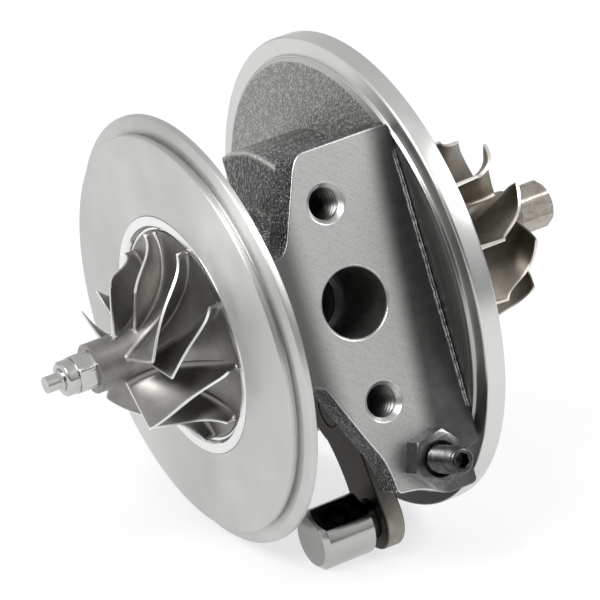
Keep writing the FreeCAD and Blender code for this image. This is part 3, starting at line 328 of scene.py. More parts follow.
def fromAxis(tree, coords, centre):
    # the vector from a centre, and the distance from the line along X through it
    moved = vectorMaths(tree, "SUBTRACT", coords, inMetres(centre))
    return moved, vectorMaths(tree, "LENGTH", vectorMaths(tree, "MULTIPLY", moved, (0, 1, 1)))


def turnedMarks(tree, coords, pitch, centre=(0, 0, 0)):
    # concentric tool marks round the X axis: 1D noise of the distance from the axis plus the place along it
    moved, radius = fromAxis(tree, coords, centre)
    total = maths(tree, "ADD", radius, component(tree, moved, "X"))
    noise = addNode(tree, "ShaderNodeTexNoise", {"noise_dimensions": "1D"}, {
        "W": total, "Scale": perMillimetre(pitch), "Detail": 3.0, "Roughness": 0.65})
    return noise.outputs["Fac"], vectorMaths(tree, "CROSS_PRODUCT", (1, 0, 0), moved)


def turnedMetal(name, colour, roughness, pitch, anisotropy, strength, centre=(0, 0, 0)):
    # metal off the lathe: fine rings round the axis stretch the highlights across them
    material, tree, shader, coords = startMaterial(name, colour, 1.0, roughness)
    marks, tangent = turnedMarks(tree, coords, pitch, centre)
    smudge = noiseAt(tree, coords, 14.0, 2.0)
    feed(tree, shader, {
        "Anisotropic": anisotropy, "Anisotropic Rotation": 0.25, "Tangent": tangent,
        "Normal": bumpFrom(tree, marks, strength, 0.004),
        "Roughness": ramp(tree, smudge, [(0.3, roughness * 0.85), (0.7, roughness * 1.2)])})
    return material


def grainyMetal(name, dark, light, roughness, grain, strength, metallic=1.0, depth=0.12, blotch=6.0):
    # metal with a blasted, cast or oxidised skin: round grains of one size, blotched lighter and darker
    material, tree, shader, coords = startMaterial(name, light, metallic, roughness)
    fine = noiseAt(tree, coords, grain * 0.7)
    height = maths(tree, "ADD", roundGrains(tree, coords, grain, 1.0), fine)
    patches = noiseAt(tree, coords, blotch, 5.0, 0.65)
    feed(tree, shader, {
        "Normal": bumpFrom(tree, height, strength, depth),
        "Base Color": ramp(tree, patches, [(0.35, dark), (0.65, light)]),
        "Roughness": ramp(tree, fine, [(0.3, roughness * 0.85), (0.7, min(1.0, roughness * 1.15))])})
    return material


def bladeMetal(name, dark, light, edge, roughness, grain):
    # cast or milled blade sides, with the tip and the leading edge cut bright where the mesh says so
    material = grainyMetal(name, dark, light, roughness, grain, 0.14, depth=0.03, blotch=8.0)
    tree, shader = opened(material)
    milled = addNode(tree, "ShaderNodeAttribute", {"attribute_name": "milled"}).outputs["Fac"]
    side = shader.inputs["Base Color"].links[0].from_socket
    bright = ramp(tree, milled, [(0.8, 0.0), (0.95, 1.0)])
    feed(tree, shader, {"Base Color": mixed(tree, "RGBA", bright, side, edge)})
    return material


def sandSkin(tree, coords, settings):
    # the skin that a sand mould leaves: dark pits between round grains, a few of them glinting
    grains = roundGrains(tree, coords, settings["grain"], 0.8)
    uneven = noiseAt(tree, coords, settings["grain"] * 3.5, 4.0, 0.7)
    height = maths(tree, "MULTIPLY_ADD", uneven, 0.9, grains)
    colour = ramp(tree, height, [(0.45, settings["light"]), (0.95, settings["dark"])])
    glints = ramp(tree, noiseAt(tree, coords, settings["grain"] * 0.8, 1.0, 0.4), [(0.66, 0.0), (0.70, 1.0)])
    return mixed(tree, "RGBA", glints, colour, settings["glint"]), height


def castSurface(name, settings):
    # cast iron with its sand skin all over, its raised edges rubbed bright
    material, tree, shader, coords = startMaterial(name, settings["light"], 1.0, settings["rough"])
    colour, height = sandSkin(tree, coords, settings)
    raised = addNode(tree, "ShaderNodeNewGeometry").outputs["Pointiness"]
    rubbed = ramp(tree, raised, [(0.508, 0.0), (0.54, 0.8)])
    feed(tree, shader, {
        "Base Color": mixed(tree, "RGBA", rubbed, colour, settings["glint"]),
        "Normal": bumpFrom(tree, height, 0.8, settings["depth"], True)})
    return material


def skinnedFlange(name, settings):
    # sand skin inside a circle that lies a little off the axis, turned metal outside it, and a crescent with
    # tool marks beside the drain flange, whose streaks are darkened with painted shade
    material, tree, shader, coords = startMaterial(name, settings["light"], 1.0, settings["rough"])
    distance = fromAxis(tree, coords, settings["centre"])[1]
    waver = noiseAt(tree, coords, 1.5, 2.0)
    wavering = maths(tree, "MULTIPLY_ADD", waver, settings["waver"] * millimetre, distance)
    inside = mapped(tree, wavering, settings["reach"], settings["reach"] + 0.5, 1.0, 0.0)
    outsideCrescent = mapped(tree, component(tree, coords, "Y"), *settings["crescent"])
    cast = maths(tree, "MULTIPLY", inside, outsideCrescent)
    marks = turnedMarks(tree, coords, settings["pitch"])[0]
    # the crescent's tool-mark streaks, darkened with painted shade
    streaks = ramp(tree, marks, [
        (0.42, settings["oilDark"]), (0.62, settings["oilLight"]), (0.70, settings["bright"])])
    turned = mixed(tree, "RGBA", outsideCrescent, streaks, settings["bright"])
    skin, height = sandSkin(tree, coords, settings)
    feed(tree, shader, {
        "Base Color": mixed(tree, "RGBA", cast, turned, skin),
        "Roughness": mixed(tree, "FLOAT", cast, settings["turnedRough"], settings["rough"]),
        "Normal": bumpFrom(tree, height, cast, settings["depth"], True)})
    return material


def milledCasting(name, settings):
    # cast iron with one milled face: the face is bright with open grain, darkened with painted shade towards
    # the turbine flange and worn at its other end, the walls keep the sand skin
    material, tree, shader, coords = startMaterial(name, settings["face"], 1.0, settings["faceRough"])
    x, y, z = (component(tree, coords, axis) for axis in "XYZ")
    wall = mapped(tree, y, *settings["wall"])
    face = ramp(tree, noiseAt(tree, coords, settings["speck"], 3.0, 0.6), [
        (0.36, settings["speckColour"]), (0.5, settings["face"]), (0.72, settings["face"]),
        (0.78, settings["glint"])])
    # milling streaks run across the face at a slant
    slant = addNode(tree, "ShaderNodeMapping", {"vector_type": "TEXTURE"}, {
        "Vector": coords, "Rotation": (0, math.radians(40), 0), "Scale": (14.0, 1.0, 1.0)}).outputs[0]
    streaks = ramp(tree, noiseAt(tree, slant, 0.5, 3.0, 0.6), [(0.35, 0.0), (0.7, 0.55)])
    face = mixed(tree, "RGBA", streaks, face, settings["streak"])
    # the painted shade's border leans, x - lean * z, and the painted shade thins in patches
    leant = maths(tree, "MULTIPLY_ADD", z, -settings["oilLean"], x)
    patches = ramp(tree, noiseAt(tree, coords, 6.0, 3.0), [(0.2, 0.88), (0.6, 1.0)])
    oily = maths(tree, "MULTIPLY", mapped(tree, leant, *settings["oilBorder"]), patches)
    face = mixed(tree, "RGBA", oily, face, settings["oil"])
    face = mixed(tree, "RGBA", mapped(tree, x, *settings["wornBorder"]), face, settings["worn"])
    skin, height = sandSkin(tree, coords, settings)
    strength = mixed(tree, "FLOAT", wall, 0.05, 0.8)
    feed(tree, shader, {
        "Base Color": mixed(tree, "RGBA", wall, face, skin),
        "Roughness": mixed(tree, "FLOAT", wall, settings["faceRough"], settings["rough"]),
        "Normal": bumpFrom(tree, height, strength, settings["depth"], True)})
    return material


def forgedLever(name, face, edge, roughness):
    # forged steel: flat faces painted dark as shade, a paler rim worn off in patches
    material = grainyMetal(name, face, face, roughness, 0.3, 0.3, depth=0.05, blotch=3.0)
    tree, shader = opened(material)
    coords = addNode(tree, "ShaderNodeTexCoord").outputs
    facing = maths(tree, "ABSOLUTE", component(tree, coords["Normal"], "X"))
    rim = ramp(tree, facing, [(0.25, 1.0), (0.8, 0.0)])
    worn = ramp(tree, noiseAt(tree, coords["Object"], 2.5, 4.0), [(0.3, 0.75), (0.6, 1.0)])
    share = maths(tree, "MULTIPLY", rim, worn)
    feed(tree, shader, {"Base Color": mixed(tree, "RGBA", share, face, edge)})
    return material


def oiledPin(name, settings):
    # steel turned on the pin's own axis, with duller ends, and painted shade on its flat and in its cross
    # hole
    colour = settings["colour"]
    material = turnedMetal(name, colour, 0.2, 0.15, 0.5, 0.14, centre=settings["centre"])
    tree, shader = opened(material)
    coords = addNode(tree, "ShaderNodeTexCoord").outputs
    flat = ramp(tree, vectorMaths(tree, "DOT_PRODUCT", coords["Normal"], settings["flat"]), [
        (0.93, 0.0), (0.97, 1.0)])
    # the length of offset x axis is the distance from the cross hole's axis
    offset = vectorMaths(tree, "SUBTRACT", coords["Object"], inMetres(settings["hole"]))
    reach = vectorMaths(tree, "LENGTH", vectorMaths(tree, "CROSS_PRODUCT", offset, settings["flat"]))
    inside = mapped(tree, reach, settings["bore"] + 0.2, settings["bore"] + 0.05)
    facing = maths(tree, "ABSOLUTE", component(tree, coords["Normal"], "X"))
    body = mixed(tree, "RGBA", ramp(tree, facing, [(0.85, 0.0), (0.95, 1.0)]), colour, settings["end"])
    # painted shade on the flat and in the cross hole
    oily = maths(tree, "MAXIMUM", flat, inside)
    feed(tree, shader, {"Base Color": mixed(tree, "RGBA", oily, body, settings["oil"])})
    return material


def shadePaintedTurning(name, settings):
    # turned metal with painted shade on its front towards the lower drain side, darkest at its lowest
    material = turnedMetal(name, settings["colour"], settings["rough"], settings["pitch"], 0.6, 0.15)
    tree, shader = opened(material)
    coords = addNode(tree, "ShaderNodeTexCoord").outputs["Object"]
    front = mapped(tree, component(tree, coords, "X"), *settings["front"])
    colour = settings["colour"]
    # each painted shade darkens the front along its own direction
    for paintedMark in ("paintedSideShade", "oil"):
        towards, border, shade = settings[paintedMark]
        place = vectorMaths(tree, "DOT_PRODUCT", coords, towards)
        share = maths(tree, "MULTIPLY", mapped(tree, place, *border), front)
        colour = mixed(tree, "RGBA", share, colour, shade)
    feed(tree, shader, {"Base Color": colour})
    return material


# Materials, each for its real metal and how it was made

# grey cast iron with its sand skin: grain of about 0.7 mm, dull
castIron = castSurface("castIronSkin", {
    "dark": "70706f", "light": "bcbbb9", "glint": "d0d0ce", "rough": 0.5, "grain": 0.7, "depth": 0.3})
# grey iron faced on a lathe: bright rings with stretched highlights
facedIron = turnedMetal("facedIron", "c6c6c4", 0.44, 0.35, 0.75, 0.2)
# the turbine flange's rim, turned finer, so it mirrors more; each painted shade, on the lower drain side and
# darker at the lowest, has a direction, a border along it in millimetres and a colour
rimIron = shadePaintedTurning("turnedRim", {
    "colour": "cececc", "rough": 0.32, "pitch": 0.25, "front": (42.4, 42.2),
    "paintedSideShade": ((0, -0.85, -0.53), (-10, 42), "aaaaa8"),
    "oil": ((0, -0.2, -0.98), (42, 49), "1c1c1c")})
# the front of the turbine flange: sand skin, turned off centre near its edge, painted shade on the crescent's
# streaks
flangeIron = skinnedFlange("castFlangeFace", {
    "dark": "8b8b89", "light": "c0bfbc", "glint": "cbcbc9", "bright": "b4b4b2", "oilDark": "9a9a98",
    "oilLight": "bebebc", "rough": 0.5, "turnedRough": 0.33, "pitch": 0.9, "grain": 0.6, "depth": 0.2,
    "centre": (0, 1.6, 0.4), "reach": 47.4, "waver": 0.8, "crescent": (-39.0, -37.5)})
# threads in the casting: cut, dark with oil
boreIron = turnedMetal("oiledBore", "858583", 0.36, 0.4, 0.2, 0.3)
# drain bore in the casting: drilled, wet with oil
drainBoreIron = grainyMetal("oilyDrill", "949492", "aaaaa8", 0.4, 0.6, 0.15, depth=0.05, blotch=3.0)
# steel insert, fine turned
insertSteel = turnedMetal("insertSteel", "e6e6e5", 0.22, 0.2, 0.5, 0.12)
# milled drain face on the casting, with painted shade towards the turbine flange
drainIron = milledCasting("milledDrainFace", {
    "face": "cacac8", "faceRough": 0.34, "speck": 0.4, "speckColour": "b8b8b6", "streak": "dadad8",
    "glint": "efefed", "oil": "5a5a59", "oilBorder": (30.5, 36), "oilLean": 0.1,
    "worn": "6e6e6c", "wornBorder": (16, 9.5), "wall": (-38.42, -38.25),
    "dark": "3a3a39", "light": "929190", "rough": 0.5, "grain": 0.45, "depth": 0.2})
# worn ridge beside the drain face: cast iron rubbed bright
ridgeIron = grainyMetal("wornRidge", "5c5c5a", "c9c9c7", 0.34, 0.5, 0.6, depth=0.15, blotch=1.2)
# compressor wheel: milled and bead-blasted aluminium, satin, its edges cut bright
wheelAluminium = bladeMetal("blastedAluminium", "7f7d7a", "989693", "f0f0ee", 0.42, 0.12)
# turbine wheel: investment-cast nickel alloy, slightly brown and satin, its tips ground
castNickel = bladeMetal("castNickelAlloy", "6f6a62", "8d877d", "dddad4", 0.42, 0.2)
# the same alloy on the balancing boss, polished paler by the tongs
bossNickel = grainyMetal("tongedNickelAlloy", "98928a", "bab5ac", 0.36, 1.2, 0.5, depth=0.12, blotch=2.5)
# lever: forged steel, brownish grey and dull, its flat faces painted dark as shade
leverSteel = forgedLever("forgedSteel", "3a3632", "928e87", 0.45)
# phosphated screw: near black with a slight sheen
darkSteel = grainyMetal("phosphatedSteel", "3a393a", "5e5d5d", 0.32, 0.15, 0.15, depth=0.02, blotch=2.0)
# the lock nut: oiled steel
nutSteel = grainyMetal("oiledNut", "565657", "7f7f81", 0.3, 0.2, 0.12, depth=0.02, blotch=2.0)
# ground and turned steel of the shaft, nut and small pieces
groundSteel = turnedMetal("groundSteel", "bdbdbb", 0.24, 0.12, 0.4, 0.12)
# the lever's pin: turned steel with painted shade on its flat and in its cross hole; flat is the direction of
# its flat, which the cross hole follows
pinSteel = oiledPin("turnedPin", {
    "colour": "b2b2b0", "oil": "3a3a39", "end": "8f8f8d",
    "centre": (0, -12, -49), "flat": (0, -0.6613, 0.7501), "hole": (15.7, -12, -49), "bore": 2.6})
# bearings: turned bronze, and spring steel wire rings
bronze = turnedMetal("bearingBronze", "b98d4f", 0.3, 0.2, 0.3, 0.1)
springSteel = turnedMetal("springSteel", "8f8f90", 0.3, 0.2, 0.3, 0.1)
# pressed sheet steel of the shield and the deflector, and moulded black rubber of the O-ring
sheetSteel = grainyMetal("pressedSheet", "85817b", "9b968f", 0.35, 0.4, 0.08, depth=0.02, blotch=12.0)
sealRubber = grainyMetal("nitrileRubber", "141414", "1c1c1c", 0.6, 0.3, 0.1, metallic=0.0, depth=0.01)
print("materials made")


# Turned discs of the housing, their profiles as (x, radius) corners

disc = {"face": 44.0, "rim": 47.6, "edge": 0.2}
discPiece = turnedPiece("compressorDisc", "housing", [
    (0, 26.43), (0, disc["face"]), (0.5, 44.1), (1.3, 44.1), (1.3, 43.1), (2.2, 43.1), (2.2, 45.6),
    (2.9, 47.5), (3.3, disc["rim"]), (4.3, disc["rim"]), (4.5, 47.1), (7.5, 41), (7.5, 19), (6.5, 19),
    (6.5, 26.43)], facedIron, disc["edge"], 256)
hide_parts("compressor_disc")

flange = {"face": 41.4, "step": 48.9, "rim": 53, "edge": 0.25, "skinEdge": 0.05}
flangePiece = turnedPiece("turbineFlange", "housing", [
    (42, 30), (42, flange["step"] - 0.35), (flange["face"] - 0.05, flange["step"] - 0.25),
    (flange["face"] - 0.05, flange["step"]), (42.1, flange["step"] + 0.2), (42.1, 52.6),
    (42.5, flange["rim"]), (46.5, flange["rim"]), (46.9, 52.6), (46.9, 45), (44.9, 45), (44.9, 20),
    (47.9, 20), (47.9, 13), (55.2, 13), (55.2, 7.58), (49.2, 7.58), (49.2, 9.5), (44, 9.5), (44, 30)],
    rimIron, flange["edge"], 256)
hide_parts("turbine_flange")
turnedPiece("flangeSkin", "housing", [
    (flange["face"], 28), (flange["face"], 48.6), (43.5, 48.6), (43.5, 28)],
    flangeIron, flange["skinEdge"], 256)

insert = {"outer": 26.38, "recess": 23.7, "edge": 0.12}
insertPiece = turnedPiece("insertRing", "housing", [
    (-0.1, 24.3), (-0.1, insert["outer"]), (4, insert["outer"]), (4, 15.6), (10.9, 15.6), (10.9, 7.08),
    (3.4, 7.08), (3.4, 23.06), (0.9, 23.06), (0.9, insert["recess"]), (0.6, insert["recess"])],
    insertSteel, insert["edge"], 192)
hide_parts("compressor_insert")
print("discs made")


# Casting: the CAD solid remeshed and eased, so that bosses and webs run into each other as cast

casting = {"voxel": 0.65, "easing": 5, "factor": 0.5, "overlap": 0.9, "blend": 0.8,
           "drainSide": -28.8, "flangeSide": 40.2}
rough = bpy.data.objects.new("castingBlank", meshOfNode("bearing_housing"))
remesh = rough.modifiers.new("voxels", "REMESH")
remesh.mode = "VOXEL"
remesh.voxel_size = casting["voxel"] * millimetre
ease = rough.modifiers.new("ease", "SMOOTH")
ease.factor = casting["factor"]
ease.iterations = casting["easing"]
castMesh = appliedMesh(rough)
points = np.empty(len(castMesh.vertices) * 3)
castMesh.vertices.foreach_get("co", points)
points = points.reshape(-1, 3) / millimetre
# where the casting was parted it reaches a little into the drain flange and the turbine flange
pastDrain = (casting["drainSide"] - points[:, 1]) / casting["blend"]
points[:, 1] -= casting["overlap"] * np.clip(pastDrain, 0, 1)
pastFlange = (points[:, 0] - casting["flangeSide"]) / casting["blend"]
points[:, 0] += casting["overlap"] * np.clip(pastFlange, 0, 1)
castMesh.vertices.foreach_set("co", (points * millimetre).ravel())
castPiece = dressMesh("castCore", "housing", castMesh, castIron, 60)
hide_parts("bearing_housing")
print("casting made", len(castMesh.polygons))


# Drain block, its outline as (x, z) corners

drain = {"face": -38.5, "back": -30, "holeX": 22.5, "bore": 7.6, "thread": 3.4, "relief": 0.75,
         "spacing": 42.8, "edge": 0.35}
drainOutline = softened([
    (7.2, 14.0), (9.6, 14.0), (11.4, 16.1), (17.7, 31.0), (19.6, 33), (41.3, 33), (41.3, -36.4),
    (38.2, -36.8), (38.2, -43.9), (37.2, -44.4), (30.9, -44.5), (25.7, -41.8), (22.6, -41.1), (19.9, -40.9),
    (19.6, -37), (18.8, -33), (16.4, -28), (10.6, -14.9), (9.0, -13.9), (7.2, -13.8)], 1.6, 5)
drainHoles = [circle((drain["holeX"], 0), drain["bore"], 96)]
for side in (-0.5, 0.5):
    hole = (drain["holeX"], side * drain["spacing"])
    drainHoles.append(circle(hole, drain["thread"] + drain["relief"]))


def onDrainFace(points):
    # sketch (x, z) with the thickness along Y, outer face at the drain face
    middle = (drain["face"] + drain["back"]) / 2
    return np.column_stack([points[:, 0], middle - points[:, 2], points[:, 1]])


drainPiece = platePiece("drainBlock", "housing", [drainOutline] + drainHoles, drain["back"] - drain["face"],
                        drain["edge"], onDrainFace, drainIron)
shadedFlat(drainPiece, 1)
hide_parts("drain_flange")

# the bore's wall and, at the step, its narrower throat
lining = {"front": -38.3, "step": -17.2, "end": -10.2, "radius": 7.45, "throat": 6.3, "outer": 8.6,
          "edge": 0.1}
turnedPiece("drainLining", "housing", [
    (lining["front"], lining["radius"]), (lining["front"], lining["outer"]),
    (lining["end"], lining["outer"]), (lining["end"], lining["throat"]),
    (lining["step"], lining["throat"]), (lining["step"], lining["radius"])],
    drainBoreIron, lining["edge"], 96, (drain["holeX"], 0), "y")


def threadGrid(start, end, radius, depth, pitch, centre, steps=12, segments=64, runOut=0.0):
    # helix on a cylinder along Y: r = radius + depth * wave(place / pitch - angle / 2 pi), where the wave is
    # a triangle with its crests and roots cut flat, and fades in over the run-out
    place = np.linspace(start, end, int(abs(end - start) / pitch * steps) + 1)[None, :]
    angle = fullTurn(segments)
    phase = (place / pitch - angle / (2 * np.pi)) % 1
    wave = 1 - np.abs(2 * phase - 1)
    wave = np.clip(wave * 1.25 - 0.125, 0, 1)
    fade = np.clip((place - start) * np.sign(end - start) / runOut, 0, 1) if runOut else 1
    return ringAlongY(centre, place, radius + depth * wave * fade, angle)


# each threaded hole is a sleeve with the thread inside and a pointed bottom
thread = {"start": -37.3, "end": -26, "depth": 0.55, "pitch": 1.25, "sleeve": 4.3, "front": -37.2,
          "back": -25.9, "bottom": -25.6}
for label, side in (("upperThread", 0.5), ("lowerThread", -0.5)):
    hole = (drain["holeX"], side * drain["spacing"])
    grid = threadGrid(thread["start"], thread["end"], drain["thread"], thread["depth"], thread["pitch"],
                      hole)
    angle = fullTurn(len(grid))
    meshPiece(label, "housing", [np.concatenate([
        ringAlongY(hole, thread["back"], thread["sleeve"], angle),
        ringAlongY(hole, thread["front"], thread["sleeve"], angle), grid,
        ringAlongY(hole, thread["bottom"], 0, angle)], axis=1)], boreIron, 50)

# low ridge that the cutter left where the drain face meets the turbine flange, its crest chipped
ridge = {"x": 40.75, "half": 0.5, "rise": 0.42, "from": -29.0, "to": 27.5, "fade": 6, "face": -38.47,
         "foot": -38.0, "sway": 0.15, "rows": 500, "seed": 4}
chips = np.random.default_rng(ridge["seed"]).random(ridge["rows"])
chips = np.convolve(chips, np.ones(5) / 5, "same")[:, None]
z = np.linspace(ridge["from"], ridge["to"], ridge["rows"])[:, None]
t = np.linspace(-1, 1, 13)[None, :]
ends = np.clip(np.minimum(z - ridge["from"], ridge["to"] - z) / ridge["fade"], 0, 1)
# two crests: height over the face = rise * ends * |sin(pi * t)|, lower where chipped
rise = ridge["rise"] * ends * np.abs(np.sin(np.pi * t)) * (0.6 + 0.7 * chips)
x = ridge["x"] + ridge["sway"] * (chips - 0.5)
top = np.stack([x + ridge["half"] * t, ridge["face"] - rise, z + 0 * t], axis=-1)
low = np.stack([x + ridge["half"] * t[:, ::-1], ridge["foot"] + 0 * rise, z + 0 * t], axis=-1)
meshPiece("cutterRidge", "housing", [np.concatenate([top, low], axis=1)], ridgeIron, 60, (False, True))

# stop screw with a cut thread and a hexagonal socket: rings from the socket's pointed bottom, over the tip,
# along the thread to the middle of the other end
stopScrew = {"centre": (29, -36), "tip": -52.8, "end": -22.8, "radius": 3.0, "depth": 0.36, "pitch": 0.75,
             "threadStart": 0.45, "runOut": 0.6, "socket": 1.7, "socketDepth": 3, "segments": 96}
angle = fullTurn(stopScrew["segments"])
hexagon = stopScrew["socket"] * math.cos(math.pi / 6) / np.cos(hexFold(angle))
tip = stopScrew["tip"]
socketEnd = tip + stopScrew["socketDepth"]
core = stopScrew["radius"] - stopScrew["depth"]
shank = threadGrid(tip + stopScrew["threadStart"], stopScrew["end"], core, stopScrew["depth"],
                   stopScrew["pitch"], stopScrew["centre"], 10, stopScrew["segments"], stopScrew["runOut"])
socketRings = [(socketEnd + 0.6, 0), (socketEnd, hexagon), (tip + 0.15, hexagon), (tip, hexagon + 0.12),
               (tip, 2.2), (tip + 0.1, 2.4)]
screwGrid = [ringAlongY(stopScrew["centre"], place, radius, angle) for place, radius in socketRings]
screwGrid += [shank, ringAlongY(stopScrew["centre"], stopScrew["end"] + 0.01, 0, angle)]
screwPiece = meshPiece("stopScrewThread", "housing", [np.concatenate(screwGrid, axis=1)], darkSteel, 30)
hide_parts("stop_screw")
eased("lockNut", "stop_screw_nut", "housing", 0.3, nutSteel)
shadedFlat(eased("leverBody", "vane_lever", "lever", 0.7, leverSteel, 4), 0)
eased("leverPin", "lever_pin", "lever", 0.15, pinSteel)
for label, side in (("upperMouth", 0.5), ("lowerMouth", -0.5)):
    turnedPiece(label, "housing", [(-38.3, 4.2), (-37.3, 3.35), (-36.9, 3.35), (-36.9, 4.7), (-38.3, 4.7)],
                facedIron, 0.05, 64, (drain["holeX"], side * drain["spacing"]), "y")
print("drain block made")


# Wheels

def quarterLine(start, end, count, alongFirst):
    # quarter ellipse between two (x, radius) places: start + (end - start) * (sin t, 1 - cos t), or the
    # other way round
    t = np.linspace(0, np.pi / 2, count)
    rise, lag = np.sin(t), 1 - np.cos(t)
    a, b = (rise, lag) if alongFirst else (lag, rise)
    return np.column_stack([start[0] + (end[0] - start[0]) * a, start[1] + (end[1] - start[1]) * b])


def sampled(line, share):
    # the line read at shares of its point count
    place = np.linspace(0, 1, len(line))
    return np.column_stack([np.interp(share, place, line[:, 0]), np.interp(share, place, line[:, 1])])


def bladeGrid(root, tip, rootTurn, tipTurn, settings):
    # points run from the root line to the tip line in x, radius and turn, (x, -r cos turn, r sin turn), then
    # out along the normal by half the blade's thickness, which swells at the root as a fillet and rounds off
    # at the leading and trailing edges
    v = np.linspace(0, 1, settings["span"]) ** 1.6
    x = root[:, :1] * (1 - v) + tip[:, :1] * v
    r = root[:, 1:] * (1 - v) + tip[:, 1:] * v
    turn = np.radians(rootTurn[:, None] * (1 - v) + tipTurn[:, None] * v)
    middle = np.stack([x, -r * np.cos(turn), r * np.sin(turn)], axis=-1)
    normal = np.cross(np.gradient(middle, axis=0), np.gradient(middle, axis=1))
    normal /= np.linalg.norm(normal, axis=-1, keepdims=True)
    share = np.linspace(0, 1, len(root))[:, None]
    height = np.linalg.norm(middle - middle[:, :1], axis=-1)
    half = settings["tipHalf"] + (settings["rootHalf"] - settings["tipHalf"]) * (1 - v) ** 1.5
    low = np.clip(1 - height / settings["fillet"], 0, 1)
    half = half + settings["fillet"] * (1 - np.sqrt(1 - low ** 2 * 0.999))
    nose = np.sqrt(1 - np.clip(1 - share / settings["nose"], 0, 1) ** 2)
    tail = np.sqrt(1 - np.clip(1 - (1 - share) / settings["tail"], 0, 1) ** 2)
    half = half * nose * tail
    sides = np.concatenate([middle + normal * half[..., None], (middle - normal * half[..., None])[::-1]])
    spine = np.concatenate([middle, middle[::-1]])
    return np.concatenate([spine[:, :1], sides, spine[:, -1:]], axis=1)


def milledShare(grid, tip, nose):
    # 1 on a blade's tip and leading edge, less by 0.2 for each of the given lengths away from them
    rows = grid.shape[0] // 2
    middle = (grid[:rows] + grid[rows:][::-1]) / 2
    fromTip = np.linalg.norm(middle - middle[:, -1:], axis=-1)
    fromNose = np.linalg.norm(middle - middle[:1], axis=-1)
    share = np.clip(1 - np.minimum(fromTip / tip, fromNose / nose) * 0.2, 0, 1)
    return np.concatenate([share, share[::-1]])


def turnedAbout(grid, degrees):
    # the grid turned about the rotor axis, from -Y towards +Z
    a = math.radians(degrees)
    y, z = grid[..., 1], grid[..., 2]
    return np.stack([grid[..., 0], y * math.cos(a) + z * math.sin(a),
                     z * math.cos(a) - y * math.sin(a)], axis=-1)


# five full blades and five splitters, which start further along the same lines
impeller = {
    "eye": (-16, 5.45), "hubRim": (0.6, 23), "inducer": (-15, 16.4), "shroudRim": (-1.8, 23),
    "wrap": 57, "clocking": 54, "pairs": 5, "splitterStart": 0.16, "sunk": 0.3,
    "cutTip": 0.45, "cutNose": 0.35,
    "blade": {"span": 18, "tipHalf": 0.27, "rootHalf": 0.5, "fillet": 1.3, "nose": 0.03, "tail": 0.02},
}
hubLine = quarterLine(impeller["eye"], impeller["hubRim"], 48, True)
shroudLine = quarterLine(impeller["inducer"], impeller["shroudRim"], 48, True)
wheelBlades = []
for kind in range(2):
    first = impeller["splitterStart"] * kind
    share = first + (1 - first) * np.linspace(0, 1, 60) ** 1.15
    turn = impeller["clocking"] - impeller["wrap"] * (1 - 0.45 * share - 0.55 * (1 - (1 - share) ** 4))
    sunk = np.column_stack([-impeller["sunk"] * share, impeller["sunk"] * (1 - share)])
    rootLine = sampled(hubLine, share) - sunk
    grid = bladeGrid(rootLine, sampled(shroudLine, share), turn, turn, impeller["blade"])
    for index in range(impeller["pairs"]):
        wheelBlades.append(turnedAbout(grid, 360 / impeller["pairs"] * (index - kind / 2)))
meshPiece("compressorBlades", "rotor", wheelBlades, wheelAluminium, 60,
          cut=milledShare(grid, impeller["cutTip"], impeller["cutNose"]))
hubProfile = np.vstack([
    [(-22.3, 2.5), (-22.3, 5.1), (-22.1, 5.45)], hubLine, [(1.4, 23), (1.6, 22.6), (2.6, 11.5), (2.6, 2.5)]])
hubPiece = meshPiece("compressorHub", "rotor", [spun(hubProfile)], wheelAluminium, 35, (True, True))
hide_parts("compressor_wheel")
print("compressor wheel made")

turbine = {
    "discRim": (59, 20.8), "hubEnd": (82.5, 5.6), "inlet": (69, 21.7), "outlet": (78, 19),
    "wrap": 31, "rootWrap": 45, "clocking": 27.5, "count": 9, "sunk": 0.4, "cutTip": 0.5, "cutNose": 0.3,
    "blade": {"span": 16, "tipHalf": 0.36, "rootHalf": 0.8, "fillet": 1.6, "nose": 0.02, "tail": 0.03},
}
turbineHub = quarterLine(turbine["discRim"], turbine["hubEnd"], 48, False)
turbineTip = quarterLine(turbine["inlet"], turbine["outlet"], 48, False)
share = 1 - (1 - np.linspace(0, 1, 72)) ** 1.25
sunk = np.column_stack([turbine["sunk"] * (1 - share), turbine["sunk"] * share])
rootLine = sampled(turbineHub, share ** 1.3 * 0.94) - sunk
tipLine = sampled(turbineTip, share)
rootTurn = turbine["clocking"] - turbine["wrap"] + turbine["rootWrap"] * share ** 2.2
# gain is the share of the way from the inlet plane to the outlet plane; the blade turns fastest near the
# outlet
gain = (tipLine[:, 0] - turbine["inlet"][0]) / (turbine["outlet"][0] - turbine["inlet"][0])
tipTurn = turbine["clocking"] - turbine["wrap"] * (1 - 0.42 * gain - 0.58 * gain ** 5)
grid = bladeGrid(rootLine, tipLine, rootTurn, tipTurn, turbine["blade"])
turbineBlades = [turnedAbout(grid, 360 / turbine["count"] * index) for index in range(turbine["count"])]
meshPiece("turbineBlades", "rotor", turbineBlades, castNickel, 60,
          cut=milledShare(grid, turbine["cutTip"], turbine["cutNose"]))
turbineProfile = np.vstack([
    [(49.4, 0), (49.4, 7.2), (49.7, 7.5), (51.15, 7.5), (51.15, 6.5), (52.45, 6.5), (52.45, 7.5),
     (55.4, 7.5), (58, 8.5), (58, 20.5), (58.3, 20.8)], turbineHub, [(83.5, 5.2), (83.5, 0)]])
turbineHubPiece = meshPiece("turbineHub", "rotor", [spun(turbineProfile, 144)], castNickel)
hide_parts("turbine_wheel")


